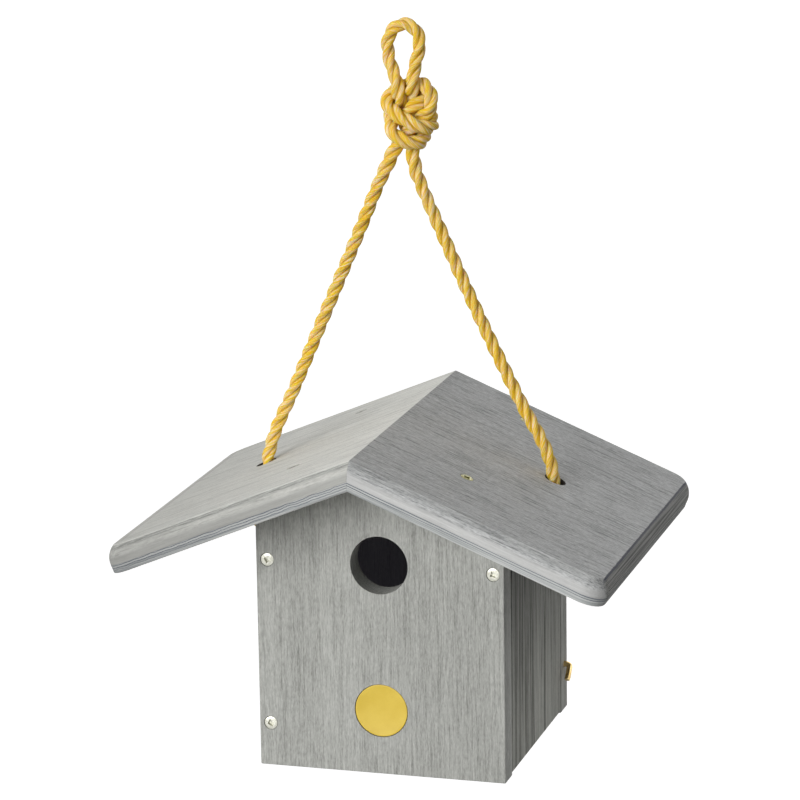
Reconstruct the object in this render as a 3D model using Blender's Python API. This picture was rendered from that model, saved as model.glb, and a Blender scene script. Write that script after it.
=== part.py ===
# Hanging birdhouse: a gabled nest box of half-inch board with a clean-out door, a turned latch hook
# and a rope that runs through the eaves and is knotted above the ridge.
# The house is drawn in its own frame (X right, Y to the back, Z up, zero at the middle of the front
# panel's foot) under one empty, which places it so that the world origin is where a hook bears on the
# rope's loop.
import math

import bmesh
import bpy
import numpy as np
from mathutils import Matrix, Vector

MM = 0.001

# Boards and clearances
BOARD_T = 12.7 * MM
SEAT_GAP = 0.3 * MM
ARRIS = 0.6 * MM
OVERRUN = 3.0 * MM

# House body
PANEL_W = 123.2 * MM
HOUSE_D = 122.3 * MM
ROOF_PITCH = math.radians(22.5)
RIDGE_UNDERSIDE_Z = 153.85 * MM

# Entrance and badge
ENTRANCE_D = 28.6 * MM
ENTRANCE_Z = 104.6 * MM
ENTRANCE_SIDES = 48
BADGE_D = 26.0 * MM
BADGE_T = 1.2 * MM
BADGE_Z = 31.9 * MM
BADGE_SINK = 0.25 * MM
BADGE_SIDES = 48

# Clean-out door
DOOR_SIDE_GAP = 1.0 * MM
DOOR_TOP_GAP = 0.8 * MM
DOOR_FOOT_Z = 1.2 * MM
PIVOT_INSET = 5.3 * MM
PIVOT_Z = 103.8 * MM

# Left side board and floor
SIDE_FOOT_Z = 1.2 * MM
FLOOR_Z = 6.35 * MM
FLOOR_CORNER_CLIP = 12.0 * MM
FLOOR_DOOR_GAP = 1.0 * MM

# Roof boards
ROOF_OVERHANG_FRONT = 49.2 * MM
ROOF_OVERHANG_BACK = 22.5 * MM
ROOF_OVERHANG_SIDE = 67.8 * MM
ROOF_CORNER_R = 12.0 * MM
ROOF_EDGE_R = 9.5 * MM
ROOF_EDGE_FLAT = 4.4 * MM
ROOF_CORNER_STEPS = 8
ROOF_EDGE_STEPS = 5

# Flat-head screws
SCREW_HEAD_D = 6.9 * MM
SCREW_SHANK_D = 3.5 * MM
SCREW_CONE_H = 2.3 * MM
SCREW_POINT_H = 4.0 * MM
SCREW_SINK = 0.15 * MM
SCREW_SIDES = 20
SCREW_LENGTH = 25.4 * MM
ROOF_SCREW_LENGTH = 31.8 * MM
DRIVE_SQUARE = 2.7 * MM
DRIVE_DEPTH = 1.8 * MM
SCREW_INSET = 5.6 * MM
SCREW_LOW_Z = 21.4 * MM
ROOF_SCREW_INSET = 18.6 * MM
ROOF_SCREW_FRONT_Y = 4.0 * MM
ROOF_SCREW_BACK_INSET = 6.6 * MM
FLOOR_SCREW_INSET = 35.0 * MM

# Latch hook
WIRE_D = 2.9 * MM
LATCH_INSET = 5.9 * MM
LATCH_Z = 24.1 * MM
LATCH_PROUD = 3.1 * MM
LATCH_ARM = 8.9 * MM
LATCH_BEND_R = 2.0 * MM
LATCH_BITE = 10.0 * MM
LATCH_REST_DOWN = math.radians(45.0)

# Rope
ROPE_D = 6.4 * MM
ROPE_PLAY = 3.6 * MM
ROPE_HOLE_OUTSET = 11.6 * MM
ROPE_Y = 54.0 * MM
LOOP_INNER_TOP_Z = 353.1 * MM
ROPE_END_GAP = 0.4 * MM
ROPE_SIDE_GAP = 0.8 * MM
MOUTH_RISE = 10.0 * MM
MOUTH_INSET = 2.0 * MM
RIGHT_LEG_BOW = 1.8 * MM
LEFT_STOPPER_DROP_SHARE = 2.45
RIGHT_STOPPER_DROP_SHARE = 2.0
LEFT_STOPPER_OUT = 1.4 * MM
LEFT_STOPPER_TURN = math.radians(40.0)
RIGHT_STOPPER_TURN = math.radians(90.0)
KNOT_SQUEEZE_SHARE = 0.92
PASS_SPACING_SHARE = 1.17
EASE_STEP_SHARE = 0.3
NEAR_PASS_SHARE = 1.55
KNOT_STEP_SHARE = 0.62
STOPPER_STEP_SHARE = 0.6
LEG_STEP_SHARE = 1.3

# Worked out from the sizes above
SLOPE_COS = math.cos(ROOF_PITCH)
SLOPE_SIN = math.sin(ROOF_PITCH)
SLOPE_TAN = math.tan(ROOF_PITCH)
RIDGE_TOP_Z = RIDGE_UNDERSIDE_Z + BOARD_T / SLOPE_COS
HALF_W = PANEL_W / 2
INNER_FRONT_Y = BOARD_T
INNER_BACK_Y = HOUSE_D - BOARD_T
ROOF_SLOPE_LENGTH = HALF_W / SLOPE_COS + ROOF_OVERHANG_SIDE
PIVOT_X = HALF_W - PIVOT_INSET
SCREW_LEFT_X = HALF_W - SCREW_INSET
ROOF_SCREW_X = HALF_W - ROOF_SCREW_INSET
ROPE_HOLE_D = ROPE_D + ROPE_PLAY
ROPE_HOLE_X = HALF_W + ROPE_HOLE_OUTSET
ROPE_LINE_X = ROPE_HOLE_X - ROPE_PLAY / 2 + ROPE_SIDE_GAP


def roof_underside(x, drop=0.0):
    """Height of the roof's underside over a place across the house, less a gap square to the slope."""
    return RIDGE_UNDERSIDE_Z - abs(x) * SLOPE_TAN - drop / SLOPE_COS


# Start from an empty scene
for old in list(bpy.data.objects):
    bpy.data.objects.remove(old, do_unlink=True)

scene_collection = bpy.context.scene.collection


def make_material(name, color, roughness, metallic=0.0):
    material = bpy.data.materials.new(name)
    material.use_nodes = True
    shader = material.node_tree.nodes["Principled BSDF"]
    shader.inputs["Base Color"].default_value = (*color, 1.0)
    shader.inputs["Roughness"].default_value = roughness
    shader.inputs["Metallic"].default_value = metallic
    material.diffuse_color = (*color, 1.0)
    return material


house = bpy.data.objects.new("house_frame", None)
house.location = (0.0, -ROPE_Y, -LOOP_INNER_TOP_Z)
scene_collection.objects.link(house)


def add_object(name, data, material=None, parent=house):
    made = bpy.data.objects.new(name, data)
    if material is not None:
        data.materials.append(material)
    made.parent = parent
    scene_collection.objects.link(made)
    return made


def mesh_from(name, build):
    """A mesh filled by a function that works on a bmesh, with its faces turned outward."""
    mesh = bpy.data.meshes.new(name)
    work = bmesh.new()
    build(work)
    bmesh.ops.recalc_face_normals(work, faces=work.faces)
    work.to_mesh(mesh)
    work.free()
    return mesh


def prism(work, outline, direction):
    """Extrude a flat outline of points along a direction into a closed solid."""
    face = work.faces.new([work.verts.new(point) for point in outline])
    grown = bmesh.ops.extrude_face_region(work, geom=[face])
    moved = [item for item in grown["geom"] if isinstance(item, bmesh.types.BMVert)]
    bmesh.ops.translate(work, verts=moved, vec=direction)


def turned(work, profile, sides):
    """Spin a profile of (radius, height) pairs about Z; a radius of zero closes the end."""
    rings = []
    for radius, height in profile:
        if radius == 0.0:
            rings.append([work.verts.new((0.0, 0.0, height))])
            continue
        turns = [2 * math.pi * step / sides for step in range(sides)]
        rings.append([work.verts.new((radius * math.cos(a), radius * math.sin(a), height)) for a in turns])
    for lower, upper in zip(rings, rings[1:]):
        for step in range(sides):
            after = (step + 1) % sides
            if len(lower) == 1:
                work.faces.new((lower[0], upper[after], upper[step]))
            elif len(upper) == 1:
                work.faces.new((lower[step], lower[after], upper[0]))
            else:
                work.faces.new((lower[step], lower[after], upper[after], upper[step]))
    for ring in (rings[0], rings[-1]):
        if len(ring) > 1:
            work.faces.new(ring)


def soften(target, width=ARRIS):
    bevel = target.modifiers.new("arris", "BEVEL")
    bevel.width = width
    bevel.segments = 1
    bevel.limit_method = "ANGLE"
    bevel.angle_limit = math.radians(40.0)


def cut(target, cutter):
    hole = target.modifiers.new("cut", "BOOLEAN")
    hole.operation = "DIFFERENCE"
    hole.solver = "EXACT"
    hole.object = cutter


def hide_cutter(cutter):
    cutter.hide_render = True
    cutter.display_type = "WIRE"
    return cutter


def smooth(target, degrees=35.0):
    target.data.shade_smooth()
    target.data.set_sharp_from_angle(angle=math.radians(degrees))


def aim(direction, roll=0.0):
    """A rotation that turns local -Z to a direction, after a roll about it."""
    turn = Vector(direction).normalized().to_track_quat("-Z", "Y").to_matrix().to_4x4()
    return turn @ Matrix.Rotation(roll, 4, "Z")


board_material = make_material("grey_board", (0.40, 0.40, 0.37), 0.62)
roof_material = make_material("grey_roof_board", (0.43, 0.43, 0.41), 0.58)
side_material = make_material("grey_side_board", (0.36, 0.36, 0.33), 0.62)
badge_material = make_material("yellow_badge", (0.72, 0.52, 0.09), 0.45)
screw_material = make_material("zinc_screw", (0.74, 0.74, 0.66), 0.35, 0.9)
brass_material = make_material("brass_hook", (0.70, 0.50, 0.20), 0.28, 1.0)
rope_material = make_material("gold_rope", (0.74, 0.47, 0.10), 0.55)


# Front and back panels: a board with a gabled top
def panel_outline(y):
    shoulder = roof_underside(HALF_W, SEAT_GAP)
    peak = roof_underside(0.0, SEAT_GAP)
    return [
        (-HALF_W, y, 0.0),
        (HALF_W, y, 0.0),
        (HALF_W, y, shoulder),
        (0.0, y, peak),
        (-HALF_W, y, shoulder),
    ]


def build_front_panel(work):
    prism(work, panel_outline(0.0), (0.0, BOARD_T, 0.0))


def build_back_panel(work):
    prism(work, panel_outline(HOUSE_D - BOARD_T), (0.0, BOARD_T, 0.0))


front_panel = add_object("front_panel", mesh_from("front_panel", build_front_panel), board_material)
soften(front_panel)
back_panel = add_object("back_panel", mesh_from("back_panel", build_back_panel), board_material)
soften(back_panel)


# Entrance hole
def build_entrance(work):
    turned(work, [(ENTRANCE_D / 2, -OVERRUN), (ENTRANCE_D / 2, BOARD_T + OVERRUN)], ENTRANCE_SIDES)


entrance_cutter = hide_cutter(add_object("entrance_cutter", mesh_from("entrance_cutter", build_entrance)))
entrance_cutter.matrix_local = Matrix.Translation((0.0, 0.0, ENTRANCE_Z)) @ aim((0.0, -1.0, 0.0))
cut(front_panel, entrance_cutter)


# Round badge, let into the front panel
def build_badge(work):
    rim = BADGE_T / 4
    turned(
        work,
        [
            (BADGE_D / 2, -BADGE_T),
            (BADGE_D / 2, -rim),
            (BADGE_D / 2 - rim, 0.0),
        ],
        BADGE_SIDES,
    )


def build_badge_recess(work):
    depth = BADGE_SINK + BADGE_T + SEAT_GAP
    turned(work, [(BADGE_D / 2 + SEAT_GAP, -depth), (BADGE_D / 2 + SEAT_GAP, OVERRUN)], BADGE_SIDES)


badge_place = Matrix.Translation((0.0, 0.0, BADGE_Z)) @ aim((0.0, 1.0, 0.0))
badge = add_object("badge_disc", mesh_from("badge_disc", build_badge), badge_material)
badge.matrix_local = Matrix.Translation((0.0, BADGE_SINK, 0.0)) @ badge_place
smooth(badge)
badge_cutter = hide_cutter(add_object("badge_recess", mesh_from("badge_recess", build_badge_recess)))
badge_cutter.matrix_local = badge_place
cut(front_panel, badge_cutter)


# Left side board, fixed between the panels, its top planed to the roof's slope
def build_left_side(work):
    y = INNER_FRONT_Y + SEAT_GAP
    outer = -HALF_W
    inner = -HALF_W + BOARD_T
    outline = [
        (outer, y, SIDE_FOOT_Z),
        (inner, y, SIDE_FOOT_Z),
        (inner, y, roof_underside(inner, SEAT_GAP)),
        (outer, y, roof_underside(outer, SEAT_GAP)),
    ]
    prism(work, outline, (0.0, INNER_BACK_Y - INNER_FRONT_Y - 2 * SEAT_GAP, 0.0))


left_side = add_object("left_side_board", mesh_from("left_side_board", build_left_side), side_material)
soften(left_side)

# Clean-out door on the right, hung on two screws near its top; its own frame sits on that axis


def build_door(work):
    y = INNER_FRONT_Y + DOOR_SIDE_GAP
    outer = HALF_W
    inner = HALF_W - BOARD_T
    outline = [
        (inner, y, DOOR_FOOT_Z),
        (outer, y, DOOR_FOOT_Z),
        (outer, y, roof_underside(outer, DOOR_TOP_GAP)),
        (inner, y, roof_underside(inner, DOOR_TOP_GAP)),
    ]
    prism(work, outline, (0.0, INNER_BACK_Y - INNER_FRONT_Y - 2 * DOOR_SIDE_GAP, 0.0))
    bmesh.ops.translate(work, verts=work.verts, vec=(-PIVOT_X, 0.0, -PIVOT_Z))


door = add_object("clean_out_door", mesh_from("clean_out_door", build_door), side_material)
door.location = (PIVOT_X, 0.0, PIVOT_Z)
soften(door)


# Floor, with clipped corners that let water out
def build_floor(work):
    left = -HALF_W + BOARD_T + SEAT_GAP
    right = HALF_W - BOARD_T - FLOOR_DOOR_GAP
    near = INNER_FRONT_Y + SEAT_GAP
    far = INNER_BACK_Y - SEAT_GAP
    clip = FLOOR_CORNER_CLIP
    outline = [
        (left + clip, near, FLOOR_Z),
        (right - clip, near, FLOOR_Z),
        (right, near + clip, FLOOR_Z),
        (right, far - clip, FLOOR_Z),
        (right - clip, far, FLOOR_Z),
        (left + clip, far, FLOOR_Z),
        (left, far - clip, FLOOR_Z),
        (left, near + clip, FLOOR_Z),
    ]
    prism(work, outline, (0.0, 0.0, BOARD_T))


floor = add_object("floor_board", mesh_from("floor_board", build_floor), side_material)
soften(floor)

# Roof boards: mitred at the ridge, with round corners and a rounded upper edge that breaks the top
# face at a crisp line
ROOF_LENGTH = ROOF_OVERHANG_FRONT + HOUSE_D + ROOF_OVERHANG_BACK
ROOF_MIDDLE_Y = (HOUSE_D + ROOF_OVERHANG_BACK - ROOF_OVERHANG_FRONT) / 2


def roof_levels():
    """Pairs of (inset from the edge, depth below the top face), from the foot of the edge upward."""
    fall = BOARD_T - ROOF_EDGE_FLAT
    start = math.asin(min(1.0, fall / ROOF_EDGE_R))
    levels = [(ARRIS, -BOARD_T), (0.0, ARRIS - BOARD_T), (0.0, -fall)]
    for step in range(1, ROOF_EDGE_STEPS + 1):
        angle = start * step / ROOF_EDGE_STEPS
        levels.append((ROOF_EDGE_R * (1 - math.cos(angle)), ROOF_EDGE_R * math.sin(angle) - fall))
    return levels


def build_roof_board(work):
    half = ROOF_LENGTH / 2
    rings = []
    for inset, depth in roof_levels():
        ridge = (SEAT_GAP / 2 - depth * SLOPE_SIN) / SLOPE_COS
        eave = ROOF_SLOPE_LENGTH - inset
        side = half - inset
        radius = ROOF_CORNER_R - inset
        points = [(ridge, -side)]
        for step in range(ROOF_CORNER_STEPS + 1):
            angle = math.pi / 2 * step / ROOF_CORNER_STEPS
            points.append((eave - radius + radius * math.sin(angle), -side + radius - radius * math.cos(angle)))
        for step in range(ROOF_CORNER_STEPS + 1):
            angle = math.pi / 2 * step / ROOF_CORNER_STEPS
            points.append((eave - radius + radius * math.cos(angle), side - radius + radius * math.sin(angle)))
        points.append((ridge, side))
        rings.append([work.verts.new((x, y, depth)) for x, y in points])
    count = len(rings[0])
    for lower, upper in zip(rings, rings[1:]):
        for step in range(count):
            after = (step + 1) % count
            work.faces.new((lower[step], lower[after], upper[after], upper[step]))
    work.faces.new(rings[0])
    work.faces.new(rings[-1])


right_place = Matrix.Translation((0.0, ROOF_MIDDLE_Y, RIDGE_TOP_Z)) @ Matrix.Rotation(ROOF_PITCH, 4, "Y")
left_place = Matrix.Translation((0.0, ROOF_MIDDLE_Y, RIDGE_TOP_Z)) @ Matrix.Rotation(math.pi, 4, "Z")
left_place = left_place @ Matrix.Rotation(ROOF_PITCH, 4, "Y")
roof_right = add_object("roof_board_right", mesh_from("roof_board_right", build_roof_board), roof_material)
roof_right.matrix_local = right_place
smooth(roof_right, 20.0)
roof_left = add_object("roof_board_left", mesh_from("roof_board_left", build_roof_board), roof_material)
roof_left.matrix_local = left_place
smooth(roof_left, 20.0)


# Rope holes, bored upright through the eaves outside the walls
def build_rope_hole(work):
    reach = BOARD_T / SLOPE_COS + ROPE_HOLE_D * SLOPE_TAN + 2 * OVERRUN
    turned(work, [(ROPE_HOLE_D / 2, -reach), (ROPE_HOLE_D / 2, reach)], SCREW_SIDES)


for side_name, sign, board in (("right", 1.0, roof_right), ("left", -1.0, roof_left)):
    hole_name = "rope_hole_" + side_name
    hole = hide_cutter(add_object(hole_name, mesh_from(hole_name, build_rope_hole)))
    hole.location = (sign * ROPE_HOLE_X, ROPE_Y, RIDGE_TOP_Z - ROPE_HOLE_X * SLOPE_TAN)
    cut(board, hole)


# Flat-head wood screws with a square drive, each in its own countersunk hole
def screw_profile(length, grow):
    """From the point up to the head's face; the hole is the same profile, grown all round."""
    head = SCREW_HEAD_D / 2 + grow
    shank = SCREW_SHANK_D / 2 + grow
    return [
        (0.0, -length - grow),
        (shank, SCREW_POINT_H - length - grow),
        (shank, -SCREW_CONE_H - grow),
        (head, -grow),
    ]


def add_screw(name, head, direction, length, boards, roll=0.0):
    """A screw whose head sits in a face at a point, running in a direction through some boards."""

    def build_screw(work):
        turned(work, screw_profile(length, 0.0), SCREW_SIDES)

    def build_hole(work):
        sides = screw_profile(length, SEAT_GAP)
        sides.append((SCREW_HEAD_D / 2 + SEAT_GAP, OVERRUN))
        turned(work, sides, SCREW_SIDES)

    def build_drive(work):
        half = DRIVE_SQUARE / 2
        square = [(-half, -half, OVERRUN), (half, -half, OVERRUN), (half, half, OVERRUN), (-half, half, OVERRUN)]
        prism(work, square, (0.0, 0.0, -OVERRUN - DRIVE_DEPTH))

    sunk = Vector(head) + Vector(direction).normalized() * SCREW_SINK
    place = Matrix.Translation(sunk) @ aim(direction, roll)
    screw = add_object(name, mesh_from(name, build_screw), screw_material)
    screw.matrix_local = place
    smooth(screw)
    drive = hide_cutter(add_object(name + "_drive", mesh_from(name + "_drive", build_drive)))
    drive.matrix_local = place
    cut(screw, drive)
    hole_cutter = hide_cutter(add_object(name + "_hole", mesh_from(name + "_hole", build_hole)))
    for board in boards:
        cut(board, hole_cutter)
    hole_cutter.matrix_local = place
    return screw


BACKWARD = (0.0, 1.0, 0.0)
FORWARD = (0.0, -1.0, 0.0)
for face_name, y, way, panel in (
    ("front", 0.0, BACKWARD, front_panel),
    ("back", HOUSE_D, FORWARD, back_panel),
):
    add_screw(
        "screw_" + face_name + "_left_top",
        (-SCREW_LEFT_X, y, PIVOT_Z),
        way,
        SCREW_LENGTH,
        (panel, left_side),
        math.radians(20.0),
    )
    add_screw(
        "screw_" + face_name + "_left_low",
        (-SCREW_LEFT_X, y, SCREW_LOW_Z),
        way,
        SCREW_LENGTH,
        (panel, left_side),
        math.radians(62.0),
    )
    add_screw(
        "screw_" + face_name + "_pivot",
        (PIVOT_X, y, PIVOT_Z),
        way,
        SCREW_LENGTH,
        (panel, door),
        math.radians(33.0),
    )

for side_name, sign, board in (("right", 1.0, roof_right), ("left", -1.0, roof_left)):
    x = sign * ROOF_SCREW_X
    z = RIDGE_TOP_Z - ROOF_SCREW_X * SLOPE_TAN
    way = (-sign * SLOPE_SIN, 0.0, -SLOPE_COS)
    add_screw(
        "screw_roof_" + side_name + "_front",
        (x, ROOF_SCREW_FRONT_Y, z),
        way,
        ROOF_SCREW_LENGTH,
        (board, front_panel),
        math.radians(15.0),
    )
    add_screw(
        "screw_roof_" + side_name + "_back",
        (x, HOUSE_D - ROOF_SCREW_BACK_INSET, z),
        way,
        ROOF_SCREW_LENGTH,
        (board, back_panel),
        math.radians(50.0),
    )

# Floor screws, through the left side board and the back panel
floor_middle_z = FLOOR_Z + BOARD_T / 2
for place_name, y in (("front", FLOOR_SCREW_INSET), ("back", HOUSE_D - FLOOR_SCREW_INSET)):
    add_screw(
        "screw_floor_side_" + place_name,
        (-HALF_W, y, floor_middle_z),
        (1.0, 0.0, 0.0),
        SCREW_LENGTH,
        (left_side, floor),
        math.radians(28.0),
    )
add_screw(
    "screw_floor_back",
    (0.0, HOUSE_D, floor_middle_z),
    FORWARD,
    SCREW_LENGTH,
    (back_panel, floor),
    math.radians(10.0),
)

# Latch hook: a square-bend screw hook in the back panel's edge. Turned level it bars the door;
# it is drawn let down clear of the door's edge. Its own frame sits on its shank's axis.
latch_y = HOUSE_D - LATCH_INSET


def latch_route():
    """Shank from inside the panel, a short bend, then the arm, in the plane of the arm."""
    points = [Vector((-LATCH_BITE, 0.0, 0.0)), Vector((LATCH_PROUD - LATCH_BEND_R, 0.0, 0.0))]
    middle = Vector((LATCH_PROUD - LATCH_BEND_R, -LATCH_BEND_R, 0.0))
    for step in range(1, 6):
        angle = math.pi / 2 * step / 5
        points.append(middle + LATCH_BEND_R * Vector((math.sin(angle), math.cos(angle), 0.0)))
    points.append(Vector((LATCH_PROUD, -LATCH_ARM, 0.0)))
    return points


def tube_curve(name, points, diameter, resolution):
    """A round tube along a line of points, with flat filled ends."""
    curve = bpy.data.curves.new(name, "CURVE")
    curve.dimensions = "3D"
    curve.bevel_depth = diameter / 2
    curve.bevel_resolution = resolution
    curve.use_fill_caps = True
    spline = curve.splines.new("POLY")
    spline.points.add(len(points) - 1)
    for point, place in zip(spline.points, points):
        point.co = (*place, 1.0)
    spline.use_smooth = True
    return curve


latch = add_object("latch_hook", tube_curve("latch_hook", latch_route(), WIRE_D, 4), brass_material)
latch.location = (HALF_W, latch_y, LATCH_Z)
latch.rotation_euler = (LATCH_REST_DOWN, 0.0, 0.0)


def build_latch_hole(work):
    radius = WIRE_D / 2 + SEAT_GAP
    turned(work, [(radius, -LATCH_BITE - SEAT_GAP), (radius, OVERRUN)], SCREW_SIDES)


latch_cutter = hide_cutter(add_object("latch_hole", mesh_from("latch_hole", build_latch_hole)))
latch_cutter.matrix_local = Matrix.Translation((HALF_W, latch_y, LATCH_Z)) @ aim((-1.0, 0.0, 0.0))
cut(back_panel, latch_cutter)


# Rope. One rope runs from a stopper knot under the left eave, up through its hole, through the hanging
# knot (an overhand knot tied in the doubled rope, which leaves the loop above it), and down again to the
# stopper knot under the right eave. The routes are in rope breadths across, back and up from each knot's
# middle; where the rope passes itself, its passes are then eased apart.
hanging_knot_shares = [
    (-1.7, 0, -4.6),
    (-1.3, 0, -3.8),
    (-0.95, 0, -3.05),
    (-0.55, 0.05, -2.35),
    (-0.15, 0.15, -1.65),
    (0.35, 0.2, -0.9),
    (0.95, 0.1, -0.2),
    (1.6, -0.05, 0.45),
    (1.85, 0, 1.2),
    (1.75, 0.2, 1.75),
    (1.4, 0.4, 2.05),
    (0.9, 0.7, 2.15),
    (0.2, 0.95, 2.1),
    (-0.45, 0.85, 1.8),
    (-0.85, 0.35, 1.35),
    (-0.9, -0.2, 0.8),
    (-0.6, -0.65, 0.3),
    (0, -1.05, -0.1),
    (0.55, -1.15, -0.4),
    (1.1, -1.15, -0.65),
    (1.6, -1.05, -0.85),
    (2.0, -0.65, -0.9),
    (2.05, 0, -0.75),
    (1.75, 0.75, -0.5),
    (1.1, 1.35, -0.2),
    (0.4, 1.5, 0.15),
    (-0.05, 1.15, 0.5),
    (-0.15, 0.55, 0.85),
    (-0.1, -0.1, 1.15),
    (-0.05, -0.55, 1.65),
    (-0.25, -0.6, 2.25),
    (-0.6, -0.35, 3.0),
    (-0.95, -0.15, 3.75),
    (-1.15, 0, 4.5),
    (-1.2, 0, 5.1),
    (-1.1, 0, 5.65),
    (-0.85, 0, 6.15),
    (-0.4, 0, 6.55),
    (0.15, 0, 6.7),
    (0.65, 0, 6.55),
    (1.05, 0, 6.15),
    (1.25, 0, 5.6),
    (1.25, 0, 5.0),
    (1.1, 0, 4.35),
    (0.95, -0.05, 3.7),
    (0.85, -0.25, 3.1),
    (0.85, -0.5, 2.5),
    (0.85, -0.5, 1.9),
    (0.7, -0.1, 1.35),
    (0.6, 0.45, 0.85),
    (0.6, 0.95, 0.25),
    (0.75, 1.2, -0.45),
    (1.0, 1.1, -1.0),
    (1.35, 0.75, -1.5),
    (1.55, 0.15, -1.9),
    (1.55, -0.45, -2.1),
    (1.2, -0.95, -2.15),
    (0.7, -1.1, -2.05),
    (0.15, -1.0, -1.85),
    (-0.4, -0.75, -1.55),
    (-0.85, -0.35, -1.1),
    (-1.05, 0.1, -0.6),
    (-1.15, 0.65, 0),
    (-1.05, 1.15, 0.75),
    (-0.7, 1.55, 1.35),
    (0.05, 1.65, 1.6),
    (0.8, 1.4, 1.75),
    (1.25, 1.0, 1.65),
    (1.3, 0.45, 1.3),
    (1.0, 0, 0.9),
    (0.6, -0.15, 0.4),
    (0.2, 0, -0.2),
    (0.05, 0.2, -0.9),
    (0.1, 0.3, -1.55),
    (0.3, 0.2, -2.15),
    (0.5, 0.1, -2.7),
    (0.7, 0, -3.4),
    (0.8, 0, -4.2),
    (1.1, 0, -5.0),
]
HANGING_KNOT_TOP_SHARE = 6.7

# A plain overhand knot, from its tail up to the rope that it holds
stopper_knot_shares = [
    (0, -1.8, -1.6),
    (0, -1.3, -1.6),
    (0, -0.75, -1.5),
    (0.05, -0.2, -1.2),
    (0.3, 0.05, -0.6),
    (0.75, 0.05, -0.05),
    (1.0, 0, 0.45),
    (0.85, 0.2, 0.95),
    (0.3, 0.5, 1.25),
    (-0.4, 0.5, 1.15),
    (-0.95, 0.1, 0.7),
    (-0.95, -0.45, 0.15),
    (-0.45, -0.85, -0.25),
    (0.2, -0.95, -0.5),
    (0.8, -0.65, -0.65),
    (1.05, -0.05, -0.65),
    (0.75, 0.6, -0.45),
    (0.1, 0.9, -0.1),
    (-0.35, 0.55, 0.3),
    (-0.3, -0.1, 0.8),
    (-0.1, -0.35, 1.3),
    (0, -0.15, 1.85),
    (0, 0, 2.4),
]


def even_steps(line, step):
    """The same line with its points a near-even step apart."""
    runs = np.linalg.norm(np.diff(line, axis=0), axis=1)
    along = np.concatenate([[0.0], np.cumsum(runs)])
    count = max(2, int(round(along[-1] / step)))
    places = np.linspace(0.0, along[-1], count + 1)
    return np.stack([np.interp(places, along, line[:, axis]) for axis in range(3)], axis=1)


def smooth_line(points):
    """A smooth line through every point of a route, eight steps to a span."""
    route = np.array(points, dtype=float)
    spans = np.linalg.norm(np.diff(route, axis=0), axis=1)[:, None]
    slopes = np.diff(route, axis=0) / spans
    heading = np.vstack([slopes[:1], slopes])
    heading[1:-1] = (slopes[:-1] * spans[1:] + slopes[1:] * spans[:-1]) / (spans[1:] + spans[:-1])
    line = []
    for place, span in enumerate(spans):
        start, end = route[place], route[place + 1]
        leave, arrive = heading[place] * span, heading[place + 1] * span
        for t in np.arange(8) / 8:
            rest = 1 - t
            point = start * rest**2 * (1 + 2 * t) + end * t**2 * (3 - 2 * t)
            line.append(point + leave * t * rest**2 - arrive * t**2 * rest)
    line.append(route[-1])
    return np.array(line)


def ease_apart(line, breadth, knot_places, rounds=400):
    """Move the rope's passes in its knots until they lie a breadth apart, and round its bends off."""
    start = line.copy()
    count = len(line)
    order = np.arange(count)
    near = int(math.ceil(NEAR_PASS_SHARE * breadth / np.linalg.norm(line[1] - line[0])))
    other_pass = np.abs(order[:, None] - order[None]) >= near
    free = np.zeros(count)
    for centre, reach_down, reach_up in knot_places:
        rise = line[:, 2] - centre[2]
        fade = np.minimum(rise + reach_down, reach_up - rise) / (1.5 * breadth)
        beside = np.abs(line[:, 0] - centre[0]) < 3.5 * breadth
        free = np.maximum(free, np.where(beside, np.clip(fade, 0.0, 1.0), 0.0))
    free[:3] = 0.0
    free[-3:] = 0.0
    free = free[:, None]
    for _ in range(rounds):
        offset = line[:, None] - line[None]
        distance = np.linalg.norm(offset, axis=2) + np.eye(count) * breadth
        lack = np.where(other_pass, np.clip(breadth - distance, 0.0, None), 0.0)
        push = (offset / distance[..., None] * lack[..., None] / 2).sum(axis=1)
        push /= np.sqrt(np.maximum(1, (lack > 0).sum(axis=1)))[:, None]
        line = line + push * free * 0.7
        hollow = np.zeros_like(line)
        hollow[1:-1] = (line[2:] + line[:-2]) / 2 - line[1:-1]
        kink = np.zeros_like(line)
        kink[1:-1] = hollow[1:-1] - (hollow[2:] + hollow[:-2]) / 2
        line = line + (hollow * 0.1 + kink * 0.3) * free
        line = line + (start - line) * 0.02
    return line


def place_route(shares, centre, turn):
    """A knot's route about its middle, turned about the vertical."""
    placed = []
    for across, back, up in shares:
        x = across * math.cos(turn) - back * math.sin(turn)
        y = across * math.sin(turn) + back * math.cos(turn)
        placed.append(np.array(centre) + np.array((x, y, up)) * ROPE_D)
    return placed


def leg_route(knot_end, sign, bow):
    """Points of a leg from the hanging knot's end to the roof's underside."""
    mouth_z = RIDGE_TOP_Z - ROPE_LINE_X * SLOPE_TAN
    turn_in = np.array((sign * (ROPE_LINE_X - MOUTH_INSET), ROPE_Y, mouth_z + MOUTH_RISE))
    points = []
    for share in (0.2, 0.4, 0.6, 0.8):
        point = knot_end + (turn_in - knot_end) * share
        inward = np.array((-sign * bow * math.sin(math.pi * share), 0.0, 0.0))
        points.append(point + inward)
    points.append(turn_in)
    points.append(np.array((sign * ROPE_LINE_X, ROPE_Y, mouth_z + MOUTH_RISE / 5)))
    points.append(np.array((sign * ROPE_LINE_X, ROPE_Y, mouth_z - BOARD_T / 2)))
    return points


hanging_knot = (0.0, ROPE_Y, LOOP_INNER_TOP_Z - (HANGING_KNOT_TOP_SHARE - 0.5) * ROPE_D)
eave_z = roof_underside(ROPE_HOLE_X)
right_stopper = (ROPE_LINE_X, ROPE_Y, eave_z - RIGHT_STOPPER_DROP_SHARE * ROPE_D)
left_stopper = (-ROPE_LINE_X - LEFT_STOPPER_OUT, ROPE_Y, eave_z - LEFT_STOPPER_DROP_SHARE * ROPE_D)

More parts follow.
